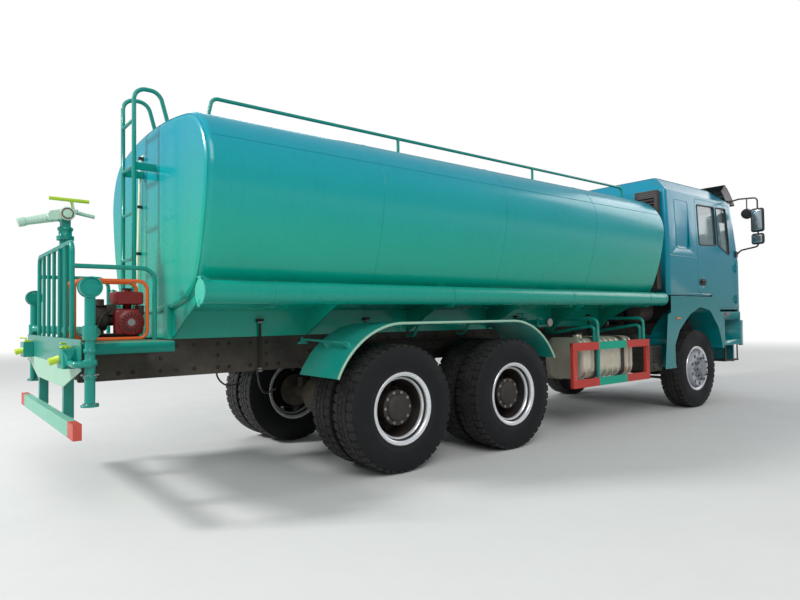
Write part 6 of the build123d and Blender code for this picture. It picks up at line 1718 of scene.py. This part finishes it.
# ---------------------------------------------------------------- camera and studio
@dataclass
class PhotoView:
    """The camera at the photograph's viewing angle."""

    place: Point = (-5.377, -5.252, 1.321)
    yaw: float = 51.29
    pitch: float = 1.53
    roll: float = -0.694
    focal_pixels: float = 610.6
    width_pixels: float = 800.0
    sensor: float = 36.0

    def build(self) -> None:
        """Make the scene's camera."""
        yaw, pitch, roll = (math.radians(a) for a in (self.yaw, self.pitch, self.roll))
        ahead = Vector((math.cos(yaw) * math.cos(pitch), math.sin(yaw) * math.cos(pitch), math.sin(pitch)))
        right = Vector((math.sin(yaw), -math.cos(yaw), 0))
        up = right.cross(ahead)
        across = right * math.cos(roll) + up * math.sin(roll)
        upright = up * math.cos(roll) - right * math.sin(roll)
        lens = bpy.data.cameras.new("photo_camera")
        lens.sensor_width = self.sensor
        lens.lens = self.focal_pixels / self.width_pixels * self.sensor
        lens.clip_end = 500.0
        camera = place_object("photo_camera", lens)
        turn = Matrix((across, upright, -ahead)).transposed().to_4x4()
        camera.matrix_world = Matrix.Translation(self.place) @ turn
        bpy.context.scene.camera = camera


@dataclass
class Studio:
    """A pale floor, soft lamps and a bright background."""

    floor_half: float = 60.0
    floor_colour: Colour = linear(205, 205, 203)
    speckle_colour: Colour = linear(190, 189, 186)
    fade: Pair = (11.0, 26.0)
    sky: Colour = (0.90, 0.95, 1.0)
    sky_strength: float = 0.45
    aim: Point = (0, 0, 1.2)
    lamps: tuple = (
        # name, place, size, power
        ("key", (-7.0, -12.0, 11.0), 9.0, 1350.0), ("sun", (-15.0, 4.5, 10.0), 2.4, 2300.0),
        ("front", (14.0, -3.0, 8.0), 8.0, 500.0), ("far", (2.0, 13.0, 9.0), 9.0, 500.0),
    )

    def floor_material(self) -> bpy.types.Material:
        """Build the floor's material, which fades to white far away."""
        graph = Graph("studio_floor")
        speckle = graph.noise(1.7, 8, 0.7)
        share = graph.spread(speckle, 0.3, 0.7, 0.0, 0.25)
        graph.wear({"Base Color": graph.blend(share, self.floor_colour, self.speckle_colour),
                    "Roughness": graph.spread(speckle, 0.3, 0.7, 0.75, 0.95)})
        camera, glossy, passing = (graph.add("ShaderNodeLightPath", {}, f"Is {kind} Ray")
                                   for kind in ("Camera", "Glossy", "Transmission"))
        seen = graph.calc("MAXIMUM", camera, graph.calc("MAXIMUM", glossy, passing))
        far = graph.spread(graph.distance(graph.place((1, 1, 0))), *self.fade)
        glow = graph.add("ShaderNodeEmission", {"Color": WHITE, "Strength": 1.0})
        mix = graph.add("ShaderNodeMixShader", {0: graph.times(far, seen), 1: graph.shader.outputs[0], 2: glow})
        graph.feed(graph.tree.nodes["Material Output"].inputs["Surface"], mix)
        return graph.material

    def floor(self) -> None:
        """Build the floor."""
        mesh = bmesh.new()
        bmesh.ops.create_grid(mesh, x_segments=2, y_segments=2, size=self.floor_half)
        data = bpy.data.meshes.new("floor")
        mesh.to_mesh(data)
        mesh.free()
        data.materials.append(self.floor_material())
        floor = place_object("floor", data)

    def world(self) -> None:
        """Light the world softly and show it as white."""
        world = bpy.data.worlds.new("studio")
        bpy.context.scene.world = world
        world.use_nodes = True
        graph = Tree(world.node_tree)
        soft = world.node_tree.nodes["Background"]
        graph.feed(soft.inputs["Color"], self.sky)
        graph.feed(soft.inputs["Strength"], self.sky_strength)
        shown = graph.add("ShaderNodeBackground", {"Color": WHITE, "Strength": 1.0})
        seen = graph.add("ShaderNodeLightPath", {}, "Is Camera Ray")
        mix = graph.add("ShaderNodeMixShader", {0: seen, 1: soft.outputs[0], 2: shown})
        graph.feed(world.node_tree.nodes["World Output"].inputs["Surface"], mix)

    def light(self) -> None:
        """Hang the soft lamps."""
        for name, place, size, power in self.lamps:
            data = bpy.data.lights.new(name, "AREA")
            data.shape = "SQUARE"
            data.size = size
            data.energy = power
            lamp = place_object(name, data)
            lamp.location = place
            lamp.rotation_euler = (Vector(self.aim) - Vector(place)).to_track_quat("-Z", "Y").to_euler()

    def build(self) -> None:
        """Build the studio."""
        self.floor()
        self.world()
        self.light()
        bpy.context.scene.view_settings.view_transform = "Standard"


def main() -> None:
    """Build the truck's looks in order."""
    logging.basicConfig(level=logging.INFO, format="%(message)s")
    recipes = Recipes()
    PhotoView().build()
    Studio().build()
    WheelSet().build(recipes)
    WaterTank().build(recipes)
    HoseTubes().build()
    SkinTable().build()
    CabTrim().build()
    FrameTrim().build(recipes)
    DeckTrim().build(recipes)


if __name__ == "__main__":
    main()
